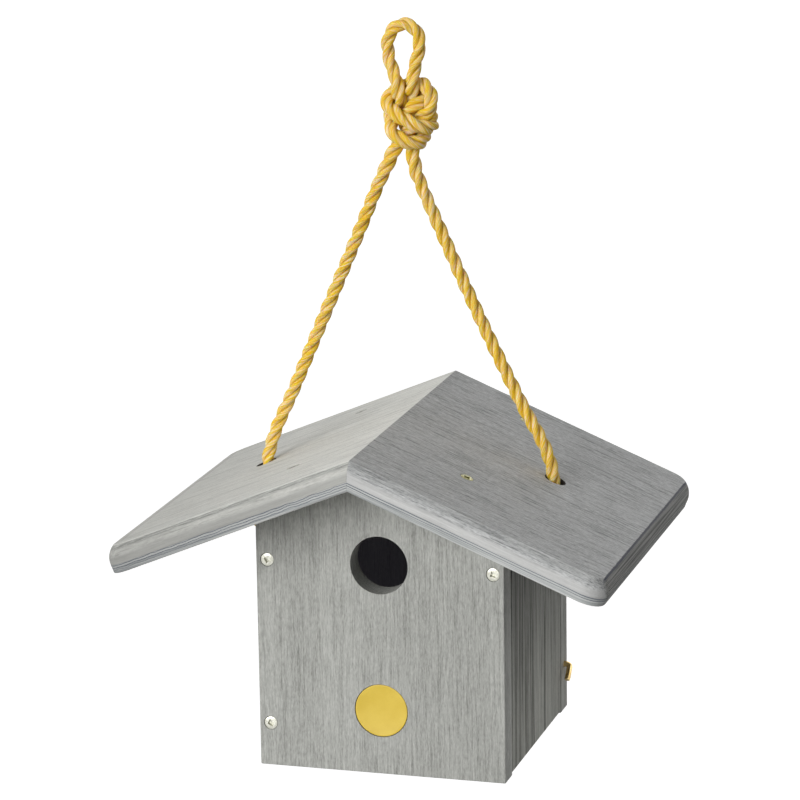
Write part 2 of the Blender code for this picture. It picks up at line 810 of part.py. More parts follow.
tied = place_route(hanging_knot_shares, hanging_knot, 0.0)
left_tied = place_route(stopper_knot_shares, left_stopper, LEFT_STOPPER_TURN)
right_tied = place_route(stopper_knot_shares, right_stopper, RIGHT_STOPPER_TURN)
left_leg = leg_route(tied[0], -1.0, 0.0)[::-1]
right_leg = leg_route(tied[-1], 1.0, RIGHT_LEG_BOW)
stretches = [left_tied, left_leg, tied, right_leg, right_tied[::-1]]

route = [point for stretch in stretches for point in stretch]
whole = smooth_line(route)
runs = np.concatenate([[0.0], np.cumsum(np.linalg.norm(np.diff(whole, axis=0), axis=1))])
ends = np.cumsum([len(stretch) for stretch in stretches])
cuts = [runs[(ends[0] - 1) * 8], runs[ends[1] * 8], runs[(ends[2] - 1) * 8], runs[ends[3] * 8]]
whole = even_steps(whole, ROPE_D * EASE_STEP_SHARE)
places = [
    (left_stopper, 3 * ROPE_D, 3 * ROPE_D),
    (right_stopper, 3 * ROPE_D, 3 * ROPE_D),
    (hanging_knot, 4.5 * ROPE_D, 3.6 * ROPE_D),
]
shares = [cut_at / runs[-1] for cut_at in cuts]
whole = ease_apart(whole, PASS_SPACING_SHARE * ROPE_D, places)


def rope_part(line, start_share, end_share, step):
    """A stretch of the rope between two shares of its steps. Where it meets its neighbour it stops half
    a gap short, after a short straight run square to the joint."""
    runs = np.concatenate([[0.0], np.cumsum(np.linalg.norm(np.diff(line, axis=0), axis=1))])
    steps = np.arange(len(line)) / (len(line) - 1)
    start, end = np.interp((start_share, end_share), steps, runs)

    def at(along):
        return np.stack([np.interp(along, runs, line[:, axis]) for axis in range(3)], axis=-1)

    straight = ROPE_D / 2
    inner_start = start if start_share == 0.0 else start + straight + step / 2
    inner_end = end if end_share == 1.0 else end - straight - step / 2
    count = max(2, int(round((inner_end - inner_start) / step)))
    points = list(at(np.linspace(inner_start, inner_end, count + 1)))
    if start_share > 0.0:
        heading = at(start + straight) - at(start - straight)
        heading /= np.linalg.norm(heading)
        points = [at(start) + heading * (ROPE_END_GAP / 2), at(start) + heading * straight] + points
    if end_share < 1.0:
        heading = at(end + straight) - at(end - straight)
        heading /= np.linalg.norm(heading)
        points += [at(end) - heading * straight, at(end) - heading * (ROPE_END_GAP / 2)]
    return np.array(points)


def least_gap(line, breadth):
    """The least clearance between passes of a tube, measured on close points of its line."""
    close = even_steps(line, breadth / 12)
    order = np.arange(len(close))
    distance = np.linalg.norm(close[:, None] - close[None], axis=2)
    distance[np.abs(order[:, None] - order[None]) < 19] = np.inf
    return distance.min() - breadth


parts = [
    ("rope_stopper_left", 0.0, shares[0], STOPPER_STEP_SHARE, KNOT_SQUEEZE_SHARE),
    ("rope_leg_left", shares[0], shares[1], LEG_STEP_SHARE, 1.0),
    ("rope_hanging_knot", shares[1], shares[2], KNOT_STEP_SHARE, KNOT_SQUEEZE_SHARE),
    ("rope_leg_right", shares[2], shares[3], LEG_STEP_SHARE, 1.0),
    ("rope_stopper_right", shares[3], 1.0, STOPPER_STEP_SHARE, KNOT_SQUEEZE_SHARE),
]
for rope_name, start_share, end_share, step, squeeze in parts:
    line = rope_part(whole, start_share, end_share, step * ROPE_D)
    tube = tube_curve(rope_name, [Vector(point) for point in line], ROPE_D * squeeze, 3)
    add_object(rope_name, tube, rope_material)
    if squeeze < 1.0:
        print(rope_name, "least gap", round(least_gap(line, ROPE_D * squeeze) / MM, 2), "mm", len(line))
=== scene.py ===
# Looks for the hanging birdhouse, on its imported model.
# World metres, with the origin where a hook bears on the rope's loop.
import bmesh
import bpy
import math
import numpy as np
from mathutils import Matrix, Vector


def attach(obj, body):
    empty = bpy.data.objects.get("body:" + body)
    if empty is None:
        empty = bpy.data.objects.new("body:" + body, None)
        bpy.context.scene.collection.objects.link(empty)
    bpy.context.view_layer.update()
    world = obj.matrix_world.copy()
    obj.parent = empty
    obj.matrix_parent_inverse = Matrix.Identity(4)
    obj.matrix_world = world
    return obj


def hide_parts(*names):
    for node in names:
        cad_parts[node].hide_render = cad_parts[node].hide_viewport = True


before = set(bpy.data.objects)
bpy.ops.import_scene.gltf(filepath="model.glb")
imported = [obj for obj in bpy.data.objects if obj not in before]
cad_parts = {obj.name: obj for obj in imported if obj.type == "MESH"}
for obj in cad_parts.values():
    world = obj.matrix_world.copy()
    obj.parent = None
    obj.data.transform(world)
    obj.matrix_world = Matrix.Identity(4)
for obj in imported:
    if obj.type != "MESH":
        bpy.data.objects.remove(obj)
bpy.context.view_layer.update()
print("frame loaded:", len(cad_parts), "nodes")

# sizes of the house in millimetres, from the middle of the front panel's foot
mm = 0.001
boxHalf, depth, boardThick = 61.6, 122.3, 12.7
pitch = math.radians(22.5)
gablePeak = 153.85
ridgeTop = gablePeak + boardThick / math.cos(pitch)
ropeY, ropeHoleX = 54.0, 73.2
loopTop = 353.1  # inside top of the rope's loop
houseAt = Vector((0.0, -ropeY, -loopTop)) * mm


def spot(x, y, z):
    return houseAt + Vector((x, y, z)) * mm  # house millimetres to world metres


def addNew(operator, **settings):
    # everything is let go before the new object comes in
    bpy.ops.object.select_all(action="DESELECT")
    operator(**settings)
    return bpy.context.object


# camera, fitted to the edges in the photograph
cameraSettings = {
    "place": (0.51614, -1.75658, 0.27021),
    "turn": (76.17598646, 0.85454283, 16.29036802),
    "lens": 175.003,
    "sensor": 36,
    "clip": (0.05, 40),
}
cameraTurn = [math.radians(a) for a in cameraSettings["turn"]]
camera = addNew(bpy.ops.object.camera_add, location=cameraSettings["place"], rotation=cameraTurn)
camera.name = "photoCamera"
camera.data.lens = cameraSettings["lens"]
camera.data.sensor_width = cameraSettings["sensor"]
camera.data.clip_start, camera.data.clip_end = cameraSettings["clip"]
bpy.context.scene.camera = camera
print("camera placed")


# small helpers for modelling
def setMode(mode):
    bpy.ops.object.mode_set(mode=mode)


def soloSelect(obj):
    if bpy.context.mode != "OBJECT":
        setMode("OBJECT")
    bpy.ops.object.select_all(action="DESELECT")
    obj.select_set(True)
    bpy.context.view_layer.objects.active = obj


def letGo(kind):
    # a short turn through edit mode, after which no part of the mesh is selected
    setMode("EDIT")
    bpy.ops.mesh.select_mode(type=kind)
    bpy.ops.mesh.select_all(action="DESELECT")
    setMode("OBJECT")


def pickFaces(obj, wanted):
    # by a test on centre and normal
    letGo("FACE")
    for face in obj.data.polygons:
        face.select = wanted(face.center, face.normal)
    setMode("EDIT")


def pickEdges(obj, wanted):
    # by a test on the two ends
    letGo("EDGE")
    points = obj.data.vertices
    for edge in obj.data.edges:
        edge.select = wanted(*(points[end].co for end in edge.vertices))
    setMode("EDIT")


def insetBy(width, rise=0.0):
    bpy.ops.mesh.inset(thickness=width * mm, depth=rise * mm)


def extrudeUp(rise):
    bpy.ops.mesh.extrude_region_move(TRANSFORM_OT_translate={"value": (0, 0, rise * mm)})


def applyPlace(obj, matrix=None):
    if matrix is not None:
        obj.matrix_world = matrix
    soloSelect(obj)
    bpy.ops.object.transform_apply(location=True, rotation=True, scale=True)


def addShape(name, operator, **settings):
    shape = addNew(operator, **settings)
    shape.name = name
    applyPlace(shape)
    return shape


def newObject(name, data):
    made = bpy.data.objects.new(name, data)
    bpy.context.scene.collection.objects.link(made)
    return made


def useModifiers(obj):
    soloSelect(obj)
    for modifier in list(obj.modifiers):
        bpy.ops.object.modifier_apply(modifier=modifier.name)


def easeEdges(obj, width, angle=40):
    bevel = obj.modifiers.new("easedEdges", "BEVEL")
    bevel.width = width * mm
    bevel.segments = 3
    bevel.limit_method = "ANGLE"
    bevel.angle_limit = math.radians(angle)
    useModifiers(obj)


def volumeOf(obj):
    shape = bmesh.new()
    shape.from_mesh(obj.data)
    volume = shape.calc_volume()
    shape.free()
    return volume


cutSettings = {"trials": 5, "hair": 0.013}  # the hair in radians


def cutWith(obj, cutters):
    for cutter in cutters:
        points = [vertex.co for vertex in cutter.data.vertices]
        middle = Matrix.Translation(sum(points, Vector()) / len(points))
        for trial in range(1, cutSettings["trials"] + 1):
            before, uncut = volumeOf(obj), obj.data.copy()
            hole = obj.modifiers.new("cut", "BOOLEAN")
            hole.operation = "DIFFERENCE"
            hole.solver = "EXACT"
            hole.object = cutter
            useModifiers(obj)
            if volumeOf(obj) < before:
                bpy.data.meshes.remove(uncut)
                break
            # a cut that took nothing away is made again with the cutter turned by a hair
            print("cut made again:", obj.name, trial)
            spoilt, obj.data = obj.data, uncut
            bpy.data.meshes.remove(spoilt)
            turn = Matrix.Rotation(cutSettings["hair"] * trial, 4, "Z")
            cutter.data.transform(middle @ turn @ middle.inverted())
        bpy.data.objects.remove(cutter, do_unlink=True)


def smoothByAngle(obj, degrees=35):
    soloSelect(obj)
    bpy.ops.object.shade_smooth_by_angle(angle=math.radians(degrees))


def finishPiece(obj, material, body, slotName, *nodes):
    obj.data.materials.append(material)
    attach(obj, body)
    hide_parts(*nodes)


class Wiring:
    # short hand for adding and joining shader nodes in one tree
    def __init__(self, tree):
        self.tree = tree

    def node(self, kind, **settings):
        made = self.tree.nodes.new("ShaderNode" + kind)
        for key, value in settings.items():
            setattr(made, key, value)
        return made

    def feed(self, socket, value):
        if isinstance(value, bpy.types.NodeSocket):
            self.tree.links.new(value, socket)
        else:
            socket.default_value = (*value, 1) if socket.type == "RGBA" and len(value) == 3 else value

    def fill(self, node, values):
        for key, value in values.items():
            self.feed(node.inputs[key], value)
        return node

    def maths(self, operation, a, b=0.0, clamp=False):
        return self.fill(self.node("Math", operation=operation, use_clamp=clamp), {0: a, 1: b}).outputs[0]

    def plus(self, a, b):
        return self.maths("ADD", a, b)

    def minus(self, a, b):
        return self.maths("SUBTRACT", a, b)

    def times(self, first, *others):
        for value in others:
            first = self.maths("MULTIPLY", first, value)
        return first

    def size(self, value):
        return self.maths("ABSOLUTE", value)

    def swing(self, value, reach):
        # a value from 0 to 1 is made to swing about zero
        return self.times(self.minus(value, 0.5), reach)

    def band(self, value, low, high, outLow=0.0, outHigh=1.0, smooth=True):
        made = self.node("MapRange", interpolation_type="SMOOTHSTEP" if smooth else "LINEAR")
        ends = {"From Min": low, "From Max": high, "To Min": outLow, "To Max": outHigh}
        return self.fill(made, {"Value": value, **ends}).outputs[0]

    def blend(self, share, a, b, kind="MIX"):
        made = self.node("Mix", data_type="RGBA", blend_type=kind)
        return self.fill(made, {0: share, 6: a, 7: b}).outputs[2]

    def coats(self, colour, layers):
        # each coat is a share and the colour that goes over by that share
        for share, over in layers:
            colour = self.blend(share, colour, over)
        return colour

    def objectPlace(self):
        return self.node("TexCoord").outputs["Object"]

    def split(self, place):
        return self.fill(self.node("SeparateXYZ"), {0: place}).outputs

    def combine(self, x, y, z=0.0):
        return self.fill(self.node("CombineXYZ"), {0: x, 1: y, 2: z}).outputs[0]

    def vector(self, operation, values, output=0):
        return self.fill(self.node("VectorMath", operation=operation), values).outputs[output]

    def mapping(self, place, values):
        return self.fill(self.node("Mapping"), {"Vector": place, **values}).outputs[0]

    def noise(self, place, stretch, detail=2.0, rough=0.55, seed=0.0):
        if not isinstance(stretch, tuple):
            stretch = (stretch,) * 3
        grid = self.mapping(place, {"Scale": stretch, "Location": (seed, seed * 1.7, seed * 0.6)})
        look = {"Vector": grid, "Scale": 1.0, "Detail": detail, "Roughness": rough}
        return self.fill(self.node("TexNoise"), look).outputs["Fac"]

    def bump(self, height, distance):
        values = {"Strength": 1.0, "Distance": distance * mm, "Height": height}
        return self.fill(self.node("Bump"), values).outputs[0]


def newMaterial(name):
    material = bpy.data.materials.new(name)
    material.use_nodes = True
    return material, Wiring(material.node_tree), material.node_tree.nodes["Principled BSDF"]


# grain of the boards, one group for all: its inputs and their first values, with rates per metre
grainInputs = {
    "Place": None, "Pale": (0.4, 0.4, 0.38, 1), "Deep": (0.2, 0.2, 0.19, 1), "Flecks": 0.5, "Lines": 0.4,
    "Rate": 40.0, "Spread": 1150.0, "Scale": 1.0, "Bands": 0.3, "Wander": 0.0016,
}


def makeGrainGroup():
    # the grain runs along X of the place that is given
    group = bpy.data.node_groups.new("boardGrain", "ShaderNodeTree")
    for label, value in grainInputs.items():
        kind = "Vector" if value is None else "Color" if isinstance(value, tuple) else "Float"
        made = group.interface.new_socket(name=label, in_out="INPUT", socket_type="NodeSocket" + kind)
        if value is not None:
            made.default_value = value
    for label, kind in (("Color", "Color"), ("Height", "Float"), ("Roughness", "Float")):
        group.interface.new_socket(name=label, in_out="OUTPUT", socket_type="NodeSocket" + kind)
    w = Wiring(group)
    into, out = group.nodes.new("NodeGroupInput").outputs, group.nodes.new("NodeGroupOutput")
    side = w.swing(w.noise(into["Place"], (30, 70, 70)), into["Wander"])
    place = w.vector("ADD", {0: into["Place"], 1: w.combine(0.0, side, side)})
    sized = w.vector("SCALE", {0: place, "Scale": into["Scale"]})
    flecks = w.noise(sized, (150, 2600, 2600), 3.0, 0.65, 3.1)
    grit = w.noise(place, (420, 1700, 1700), rough=0.7, seed=5.0)
    # long thin dark lines, at the group's own rate along the board
    rate = w.combine(into["Rate"], into["Spread"], into["Spread"])
    lines = w.band(w.noise(w.vector("MULTIPLY", {0: place, 1: rate}), 1.0, rough=0.6, seed=7.7), 0.34, 0.5)
    bands = w.plus(w.noise(place, (7, 260, 260), 1.0, seed=1.3), w.noise(place, (3, 55, 55), 1.0, seed=9.3))
    share = w.swing(flecks, into["Flecks"])
    share = w.plus(share, w.swing(grit, w.times(into["Flecks"], 0.9)))
    share = w.minus(share, w.times(w.minus(1.0, lines), into["Lines"]))
    share = w.plus(share, w.times(w.minus(bands, 1.0), into["Bands"]))
    share = w.maths("ADD", share, 0.65, clamp=True)
    height = w.plus(w.times(flecks, 0.5), w.times(lines, 0.5))
    w.fill(out, {
        "Color": w.blend(share, into["Deep"], into["Pale"]),
        "Height": w.plus(height, w.times(grit, 0.25)),
        "Roughness": w.band(share, 0.0, 1.0, 0.8, 0.64, False),
    })
    return group


grainGroup = makeGrainGroup()


def useGrain(w, place, pale, deep, grain):
    values = {"Place": place, "Pale": pale, "Deep": deep, **grain}
    return w.fill(w.node("Group", node_tree=grainGroup), values).outputs


boardSettings = {"underRoofShadeHeights": (20, 108), "specular": 0.2}


def boardMaterial(name, pale, deep, grain, turn=(0, 90, 0), shift=(0, 0, 0), bump=0.12, underRoofShade=0.0):
    # turn brings the board's grain onto the pattern's X; the shade under the roof is painted in, darker
    # towards the roof
    material, w, shader = newMaterial(name)
    where = w.objectPlace()
    place = w.mapping(where, {"Rotation": [math.radians(a) for a in turn], "Location": shift})
    grain = useGrain(w, place, pale, deep, grain)
    # painted shade of the roof: the colour gets darker towards the roof and a little lighter low down
    low, high = (spot(0, 0, z)[2] for z in boardSettings["underRoofShadeHeights"])
    tone = w.band(w.split(where)[2], low, high, 1.0 + underRoofShade * 0.2, 1.0 - underRoofShade, False)
    w.fill(shader, {
        "Base Color": w.blend(1.0, grain["Color"], tone, "MULTIPLY"),
        "Roughness": grain["Roughness"],
        "Specular IOR Level": boardSettings["specular"],
        "Normal": w.bump(grain["Height"], bump),
    })
    return material


# rope: the model's route, laid up from three strands
ropeSettings = {
    "thick": 6.4,  # breadth that the route is drawn in
    "lay": 25.0,  # length of one turn of a strand
    "strandRadius": 1.78,
    "strandOut": 1.5,  # strand middle from the rope's middle
    "ringStep": 0.9,
    "lobeSteps": 14,
    "spacing": 1.0,  # breadths between passes in the knots
    "knotFullness": 0.1,
    "full": (281, 331, 8),  # heights where the rope is fuller, and how it fades
    "routeStep": 0.3,
    "holeLineX": 72.2,  # where the rope goes through the roof
    "bow": 1.8,  # right leg's bend inwards
    "endRound": 2.2,  # length of a melted end
    "knotDown": 6.2,  # hanging knot under the loop's top, in breadths
    "leftOut": 1.4,
    "leftDown": 2.45, "rightDown": 2.0,  # stopper knots under the eave, in breadths
    "leftTurn": 40, "rightTurn": 90,
}
hangingKnot = [
    (-1.7, 0, -4.6), (-1.3, 0, -3.8), (-0.95, 0, -3.05), (-0.55, 0.05, -2.35), (-0.15, 0.15, -1.65),
    (0.35, 0.2, -0.9), (0.95, 0.1, -0.2), (1.6, -0.05, 0.45), (1.85, 0, 1.2), (1.75, 0.2, 1.75),
    (1.4, 0.4, 2.05), (0.9, 0.7, 2.15), (0.2, 0.95, 2.1), (-0.45, 0.85, 1.8), (-0.85, 0.35, 1.35),
    (-0.9, -0.2, 0.8), (-0.6, -0.65, 0.3), (0, -1.05, -0.1), (0.55, -1.15, -0.4), (1.1, -1.15, -0.65),
    (1.6, -1.05, -0.85), (2.0, -0.65, -0.9), (2.05, 0, -0.75), (1.75, 0.75, -0.5), (1.1, 1.35, -0.2),
    (0.4, 1.5, 0.15), (-0.05, 1.15, 0.5), (-0.15, 0.55, 0.85), (-0.1, -0.1, 1.15), (-0.05, -0.55, 1.65),
    (-0.25, -0.6, 2.25), (-0.6, -0.35, 3.0), (-0.95, -0.15, 3.75), (-1.15, 0, 4.5), (-1.2, 0, 5.1),
    (-1.1, 0, 5.65), (-0.85, 0, 6.15), (-0.4, 0, 6.55), (0.15, 0, 6.7), (0.65, 0, 6.55),
    (1.05, 0, 6.15), (1.25, 0, 5.6), (1.25, 0, 5.0), (1.1, 0, 4.35), (0.95, -0.05, 3.7),
    (0.85, -0.25, 3.1), (0.85, -0.5, 2.5), (0.85, -0.5, 1.9), (0.7, -0.1, 1.35), (0.6, 0.45, 0.85),
    (0.6, 0.95, 0.25), (0.75, 1.2, -0.45), (1.0, 1.1, -1.0), (1.35, 0.75, -1.5), (1.55, 0.15, -1.9),
    (1.55, -0.45, -2.1), (1.2, -0.95, -2.15), (0.7, -1.1, -2.05), (0.15, -1.0, -1.85), (-0.4, -0.75, -1.55),
    (-0.85, -0.35, -1.1), (-1.05, 0.1, -0.6), (-1.15, 0.65, 0), (-1.05, 1.15, 0.75), (-0.7, 1.55, 1.35),
    (0.05, 1.65, 1.6), (0.8, 1.4, 1.75), (1.25, 1.0, 1.65), (1.3, 0.45, 1.3), (1.0, 0, 0.9),
    (0.6, -0.15, 0.4), (0.2, 0, -0.2), (0.05, 0.2, -0.9), (0.1, 0.3, -1.55), (0.3, 0.2, -2.15),
    (0.5, 0.1, -2.7), (0.7, 0, -3.4), (0.8, 0, -4.2), (1.1, 0, -5.0),
]
stopperKnot = [
    (0, -1.8, -1.6), (0, -1.3, -1.6), (0, -0.75, -1.5), (0.05, -0.2, -1.2), (0.3, 0.05, -0.6),
    (0.75, 0.05, -0.05), (1.0, 0, 0.45), (0.85, 0.2, 0.95), (0.3, 0.5, 1.25), (-0.4, 0.5, 1.15),
    (-0.95, 0.1, 0.7), (-0.95, -0.45, 0.15), (-0.45, -0.85, -0.25), (0.2, -0.95, -0.5), (0.8, -0.65, -0.65),
    (1.05, -0.05, -0.65), (0.75, 0.6, -0.45), (0.1, 0.9, -0.1), (-0.35, 0.55, 0.3), (-0.3, -0.1, 0.8),
    (-0.1, -0.35, 1.3), (0, -0.15, 1.85), (0, 0, 2.4),
]


def runsAlong(line):
    return np.concatenate([[0.0], np.cumsum(np.linalg.norm(np.diff(line, axis=0), axis=1))])


def evenSteps(line, step):
    runs = runsAlong(line)
    places = np.linspace(0.0, runs[-1], max(2, int(round(runs[-1] / step))) + 1)
    return np.stack([np.interp(places, runs, line[:, axis]) for axis in range(3)], axis=1)


def smoothRoute(points):
    route = np.array(points, dtype=float)
    spans = np.linalg.norm(np.diff(route, axis=0), axis=1)[:, None]
    slopes = np.diff(route, axis=0) / spans
    heading = np.vstack([slopes[:1], slopes])
    heading[1:-1] = (slopes[:-1] * spans[1:] + slopes[1:] * spans[:-1]) / (spans[1:] + spans[:-1])
    line = []
    for place, span in enumerate(spans):
        start, end = route[place], route[place + 1]
        for t in np.arange(8) / 8:
            point = start * (1 - t) ** 2 * (1 + 2 * t) + end * t**2 * (3 - 2 * t)
            leaving = heading[place] * span * t * (1 - t) ** 2
            line.append(point + leaving - heading[place + 1] * span * t**2 * (1 - t))
    return np.array(line + [route[-1]])


easeSettings = {
    "rounds": 400,
    "apart": 1.55,  # nearer places along the rope don't push
    "fade": 1.5, "beside": 3.5,  # where a knot's moves die away; all three in breadths
    "push": 0.7, "hollow": 0.1, "kink": 0.3, "back": 0.02,
}


def easePasses(line, breadth, knots, unit):
    # passes in the knots are moved until they lie a breadth apart, and bends are rounded off
    e = easeSettings
    start = line.copy()
    count = len(line)
    order = np.arange(count)
    near = math.ceil(e["apart"] * breadth / np.linalg.norm(line[1] - line[0]))
    otherPass = np.abs(order[:, None] - order[None]) >= near
    free = np.zeros(count)
    for centre, down, up in knots:
        rise = line[:, 2] - centre[2]
        fade = np.minimum(rise + down * unit, up * unit - rise) / (e["fade"] * breadth)
        beside = np.abs(line[:, 0] - centre[0]) < e["beside"] * breadth
        free = np.maximum(free, np.where(beside, np.clip(fade, 0.0, 1.0), 0.0))
    free[:3] = free[-3:] = 0.0
    free = free[:, None]
    for _ in range(e["rounds"]):
        offset = line[:, None] - line[None]
        distance = np.linalg.norm(offset, axis=2) + np.eye(count) * breadth
        lack = np.where(otherPass, np.clip(breadth - distance, 0.0, None), 0.0)
        push = (offset / distance[..., None] * lack[..., None] / 2).sum(axis=1)
        push /= np.sqrt(np.maximum(1, (lack > 0).sum(axis=1)))[:, None]
        line = line + push * free * e["push"]
        hollow = np.zeros_like(line)
        hollow[1:-1] = (line[2:] + line[:-2]) / 2 - line[1:-1]
        kink = np.zeros_like(line)
        kink[1:-1] = hollow[1:-1] - (hollow[2:] + hollow[:-2]) / 2
        line = line + (hollow * e["hollow"] + kink * e["kink"]) * free
        line = line + (start - line) * e["back"]
    return line


def knotAt(shares, centre, turn):
    turn, unit = math.radians(turn), ropeSettings["thick"]
    c, s = math.cos(turn), math.sin(turn)
    return [np.array(centre) + np.array((a * c - b * s, a * s + b * c, up)) * unit for a, b, up in shares]


def legRoute(knotEnd, sign, bow):
    # from the hanging knot to the hole in the roof, and through it
    x = ropeSettings["holeLineX"]
    mouthZ = ridgeTop - x * math.tan(pitch)
    turnIn = np.array((sign * (x - 2.0), ropeY, mouthZ + 10.0))
    points = []
    for share in (0.2, 0.4, 0.6, 0.8):
        inward = np.array((-sign * bow * math.sin(math.pi * share), 0.0, 0.0))
        points.append(knotEnd + (turnIn - knotEnd) * share + inward)
    through = [np.array((sign * x, ropeY, mouthZ + rise)) for rise in (2.0, -boardThick / 2)]
    return points + [turnIn] + through


def ropeRoute():
    r = ropeSettings
    unit = r["thick"]
    knot = (0.0, ropeY, loopTop - r["knotDown"] * unit)
    eaveZ = gablePeak - ropeHoleX * math.tan(pitch)
    leftStop = (-r["holeLineX"] - r["leftOut"], ropeY, eaveZ - r["leftDown"] * unit)
    rightStop = (r["holeLineX"], ropeY, eaveZ - r["rightDown"] * unit)
    tied = knotAt(hangingKnot, knot, 0.0)
    points = knotAt(stopperKnot, leftStop, r["leftTurn"]) + legRoute(tied[0], -1.0, 0.0)[::-1]
    points += tied + legRoute(tied[-1], 1.0, r["bow"])
    points += knotAt(stopperKnot, rightStop, r["rightTurn"])[::-1]
    whole = evenSteps(smoothRoute(points), unit * r["routeStep"])
    # each knot with its reach down and up, in breadths
    knots = [(leftStop, 3, 3), (rightStop, 3, 3), (knot, 4.5, 3.6)]
    return easePasses(whole, r["spacing"] * unit, knots, unit)


def buildRope():
    r = ropeSettings
    line = evenSteps(smoothRoute(ropeRoute()), r["ringStep"])
    count = len(line)
    ahead = np.gradient(line, axis=0)
    ahead /= np.linalg.norm(ahead, axis=1)[:, None]
    side = np.zeros_like(line)
    side[0] = np.cross(ahead[0], (0.0, 0.0, 1.0))
    side[0] /= np.linalg.norm(side[0])
    for i in range(1, count):  # carried along without twist
        side[i] = side[i - 1] - ahead[i] * np.dot(side[i - 1], ahead[i])
        side[i] /= np.linalg.norm(side[i])
    up = np.cross(ahead, side)
    steps = r["lobeSteps"]
    ring = 3 * steps
    a, c = r["strandRadius"], r["strandOut"]
    lobe = np.linspace(-math.pi / 3, math.pi / 3, steps, endpoint=False)
    reach = c * np.cos(lobe) + np.sqrt(a * a - (c * np.sin(lobe)) ** 2)
    angles = np.concatenate([lobe + k * 2 * math.pi / 3 for k in range(3)])
    reach = np.tile(reach, 3)
    runs = runsAlong(line)
    twist = 2 * math.pi * runs / r["lay"]
    fromEnd = np.minimum(runs, runs[-1] - runs)
    swell = np.clip(fromEnd / r["endRound"], 0.0, 1.0)
    swell = 0.55 + 0.45 * np.sqrt(1 - (1 - swell) ** 2)  # melted ends are rounded over
    low, high, fade = r["full"]
    inKnot = np.clip(np.minimum(line[:, 2] - low, high - line[:, 2]) / fade, 0, 1)
    swell *= 1 + r["knotFullness"] * inKnot
    turn = (angles[None] + twist[:, None])[..., None]
    out = (reach[None] * swell[:, None])[..., None]
    points = line[:, None] + side[:, None] * (np.cos(turn) * out) + up[:, None] * (np.sin(turn) * out)
    points = np.vstack([points.reshape(-1, 3), line[:1], line[-1:]]) * mm + np.array(houseAt)
    faces = []
    for i in range(count - 1):
        for j in range(ring):
            k = (j + 1) % ring
            faces.append((i * ring + j, i * ring + k, (i + 1) * ring + k, (i + 1) * ring + j))
    first, last = count * ring, count * ring + 1
    for j in range(ring):
        k = (j + 1) % ring
        faces.append((first, k, j))
        faces.append((last, (count - 1) * ring + j, (count - 1) * ring + k))
    mesh = bpy.data.meshes.new("laidRope")
    mesh.from_pydata(points.tolist(), [], faces)
    uv = mesh.uv_layers.new(name="ropeLay")
    across = np.tile(np.arange(steps) / steps, 3) + np.repeat(np.arange(3), steps)
    places = np.column_stack([np.repeat(runs / 10, ring), np.tile(across, count)])
    places = np.vstack([places, (0.0, 0.5), (runs[-1] / 10, 0.5)])
    corners = []
    for face in faces:
        corner = places[list(face)]
        if np.ptp(corner[:, 1]) > 1.5:  # the seam's last column
            corner[corner[:, 1] < 1.0, 1] += 3.0
        corners.append(corner)
    uv.data.foreach_set("uv", np.vstack(corners).ravel())
    mesh.shade_smooth()
    rope = newObject("laidRope", mesh)
    return rope, line * mm + np.array(houseAt), runs[-1] * mm


def ropeMaterial():
    material, w, shader = newMaterial("goldRope")
    along, around, _ = w.split(w.node("UVMap", uv_map="ropeLay").outputs[0])
    inStrand = w.maths("FRACT", around)
    # yarns lie at an angle in each strand
    slant = w.combine(along, w.plus(w.times(inStrand, 7.0), w.times(along, -3.2)))
    yarn = w.noise(slant, (0.9, 1.6, 1.0), 3.0, 0.6, 2.0)
    streak = w.noise(slant, (1.3, 0.95, 1.0), 3.0, 0.75, 6.0)
    fibre = w.noise(slant, (2.5, 5.0, 1.0), 3.0, 0.7, 4.0)
    # crown is 1 on a strand's middle and 0 where strands meet; the last coat below paints shade into those
    # creases
    crown = w.minus(1.0, w.size(w.swing(inStrand, 2.0)))
    # painted highlight along one side of each strand
    highlitSide = w.band(w.plus(inStrand, w.swing(yarn, 0.7)), 0.55, 0.9)
    colour = w.blend(w.band(yarn, 0.35, 0.65), (0.73, 0.455, 0.014), (0.84, 0.58, 0.05))
    colour = w.coats(colour, [
        (w.times(highlitSide, 0.5), (0.85, 0.67, 0.34)),
        (w.band(streak, 0.51, 0.6, 0.0, 0.85), (0.88, 0.71, 0.49)),
        (w.band(streak, 0.44, 0.36, 0.0, 0.65), (0.68, 0.40, 0.003)),
        (w.band(fibre, 0.53, 0.65, 0.0, 0.4), (0.98, 0.80, 0.50)),
        (w.band(fibre, 0.46, 0.34, 0.0, 0.4), (0.64, 0.38, 0.006)),
        (w.band(crown, 0.3, 0.0, 0.0, 0.85), (0.60, 0.31, 0.003)),
    ])
    rise = w.plus(w.plus(w.times(fibre, 0.5), streak), w.times(yarn, 0.5))
    w.fill(shader, {
        "Base Color": colour,
        "Roughness": 0.6,
        "Specular IOR Level": 0.1,
        "Subsurface Weight": 0.5,
        "Subsurface Radius": (1.0, 0.5, 0.08),
        "Subsurface Scale": 0.003,
        "Normal": w.bump(rise, 0.2),
    })
    return material


rope, ropePath, ropeLength = buildRope()
finishPiece(
    rope, ropeMaterial(), "house", "rope",
    "rope_stopper_left", "rope_leg_left", "rope_hanging_knot", "rope_leg_right", "rope_stopper_right",
)
print("rope laid, metres:", round(float(ropeLength), 3))

# screws: each length is modelled once, standing on -Z under the head, then copied
screwSettings = {
    "lengths": {"short": 25.4, "long": 31.8},
    "head": 6.4, "rim": 0.3, "crown": 0.1, "crownIn": 0.14, "cone": 2.2, "shank": 3.5, "smooth": 6.0,
    "core": 2.5, "shoulder": 0.4, "point": 4.0, "tip": 0.08, "sink": 0.15,
    "drive": 2.7, "driveDepth": 1.8, "driveAbove": 0.4, "driveFoot": 0.86, "driveMouth": 1.04,
    "dark": (3.0, 1.5),  # how far down and out the drive's second material goes: painted shade on the screws off the roof, a painted glint on the roof screws
    "pitch": 1.7, "toothRoot": 0.15, "toothDown": 0.9, "toothMid": 0.3, "toothBase": 0.75,
}


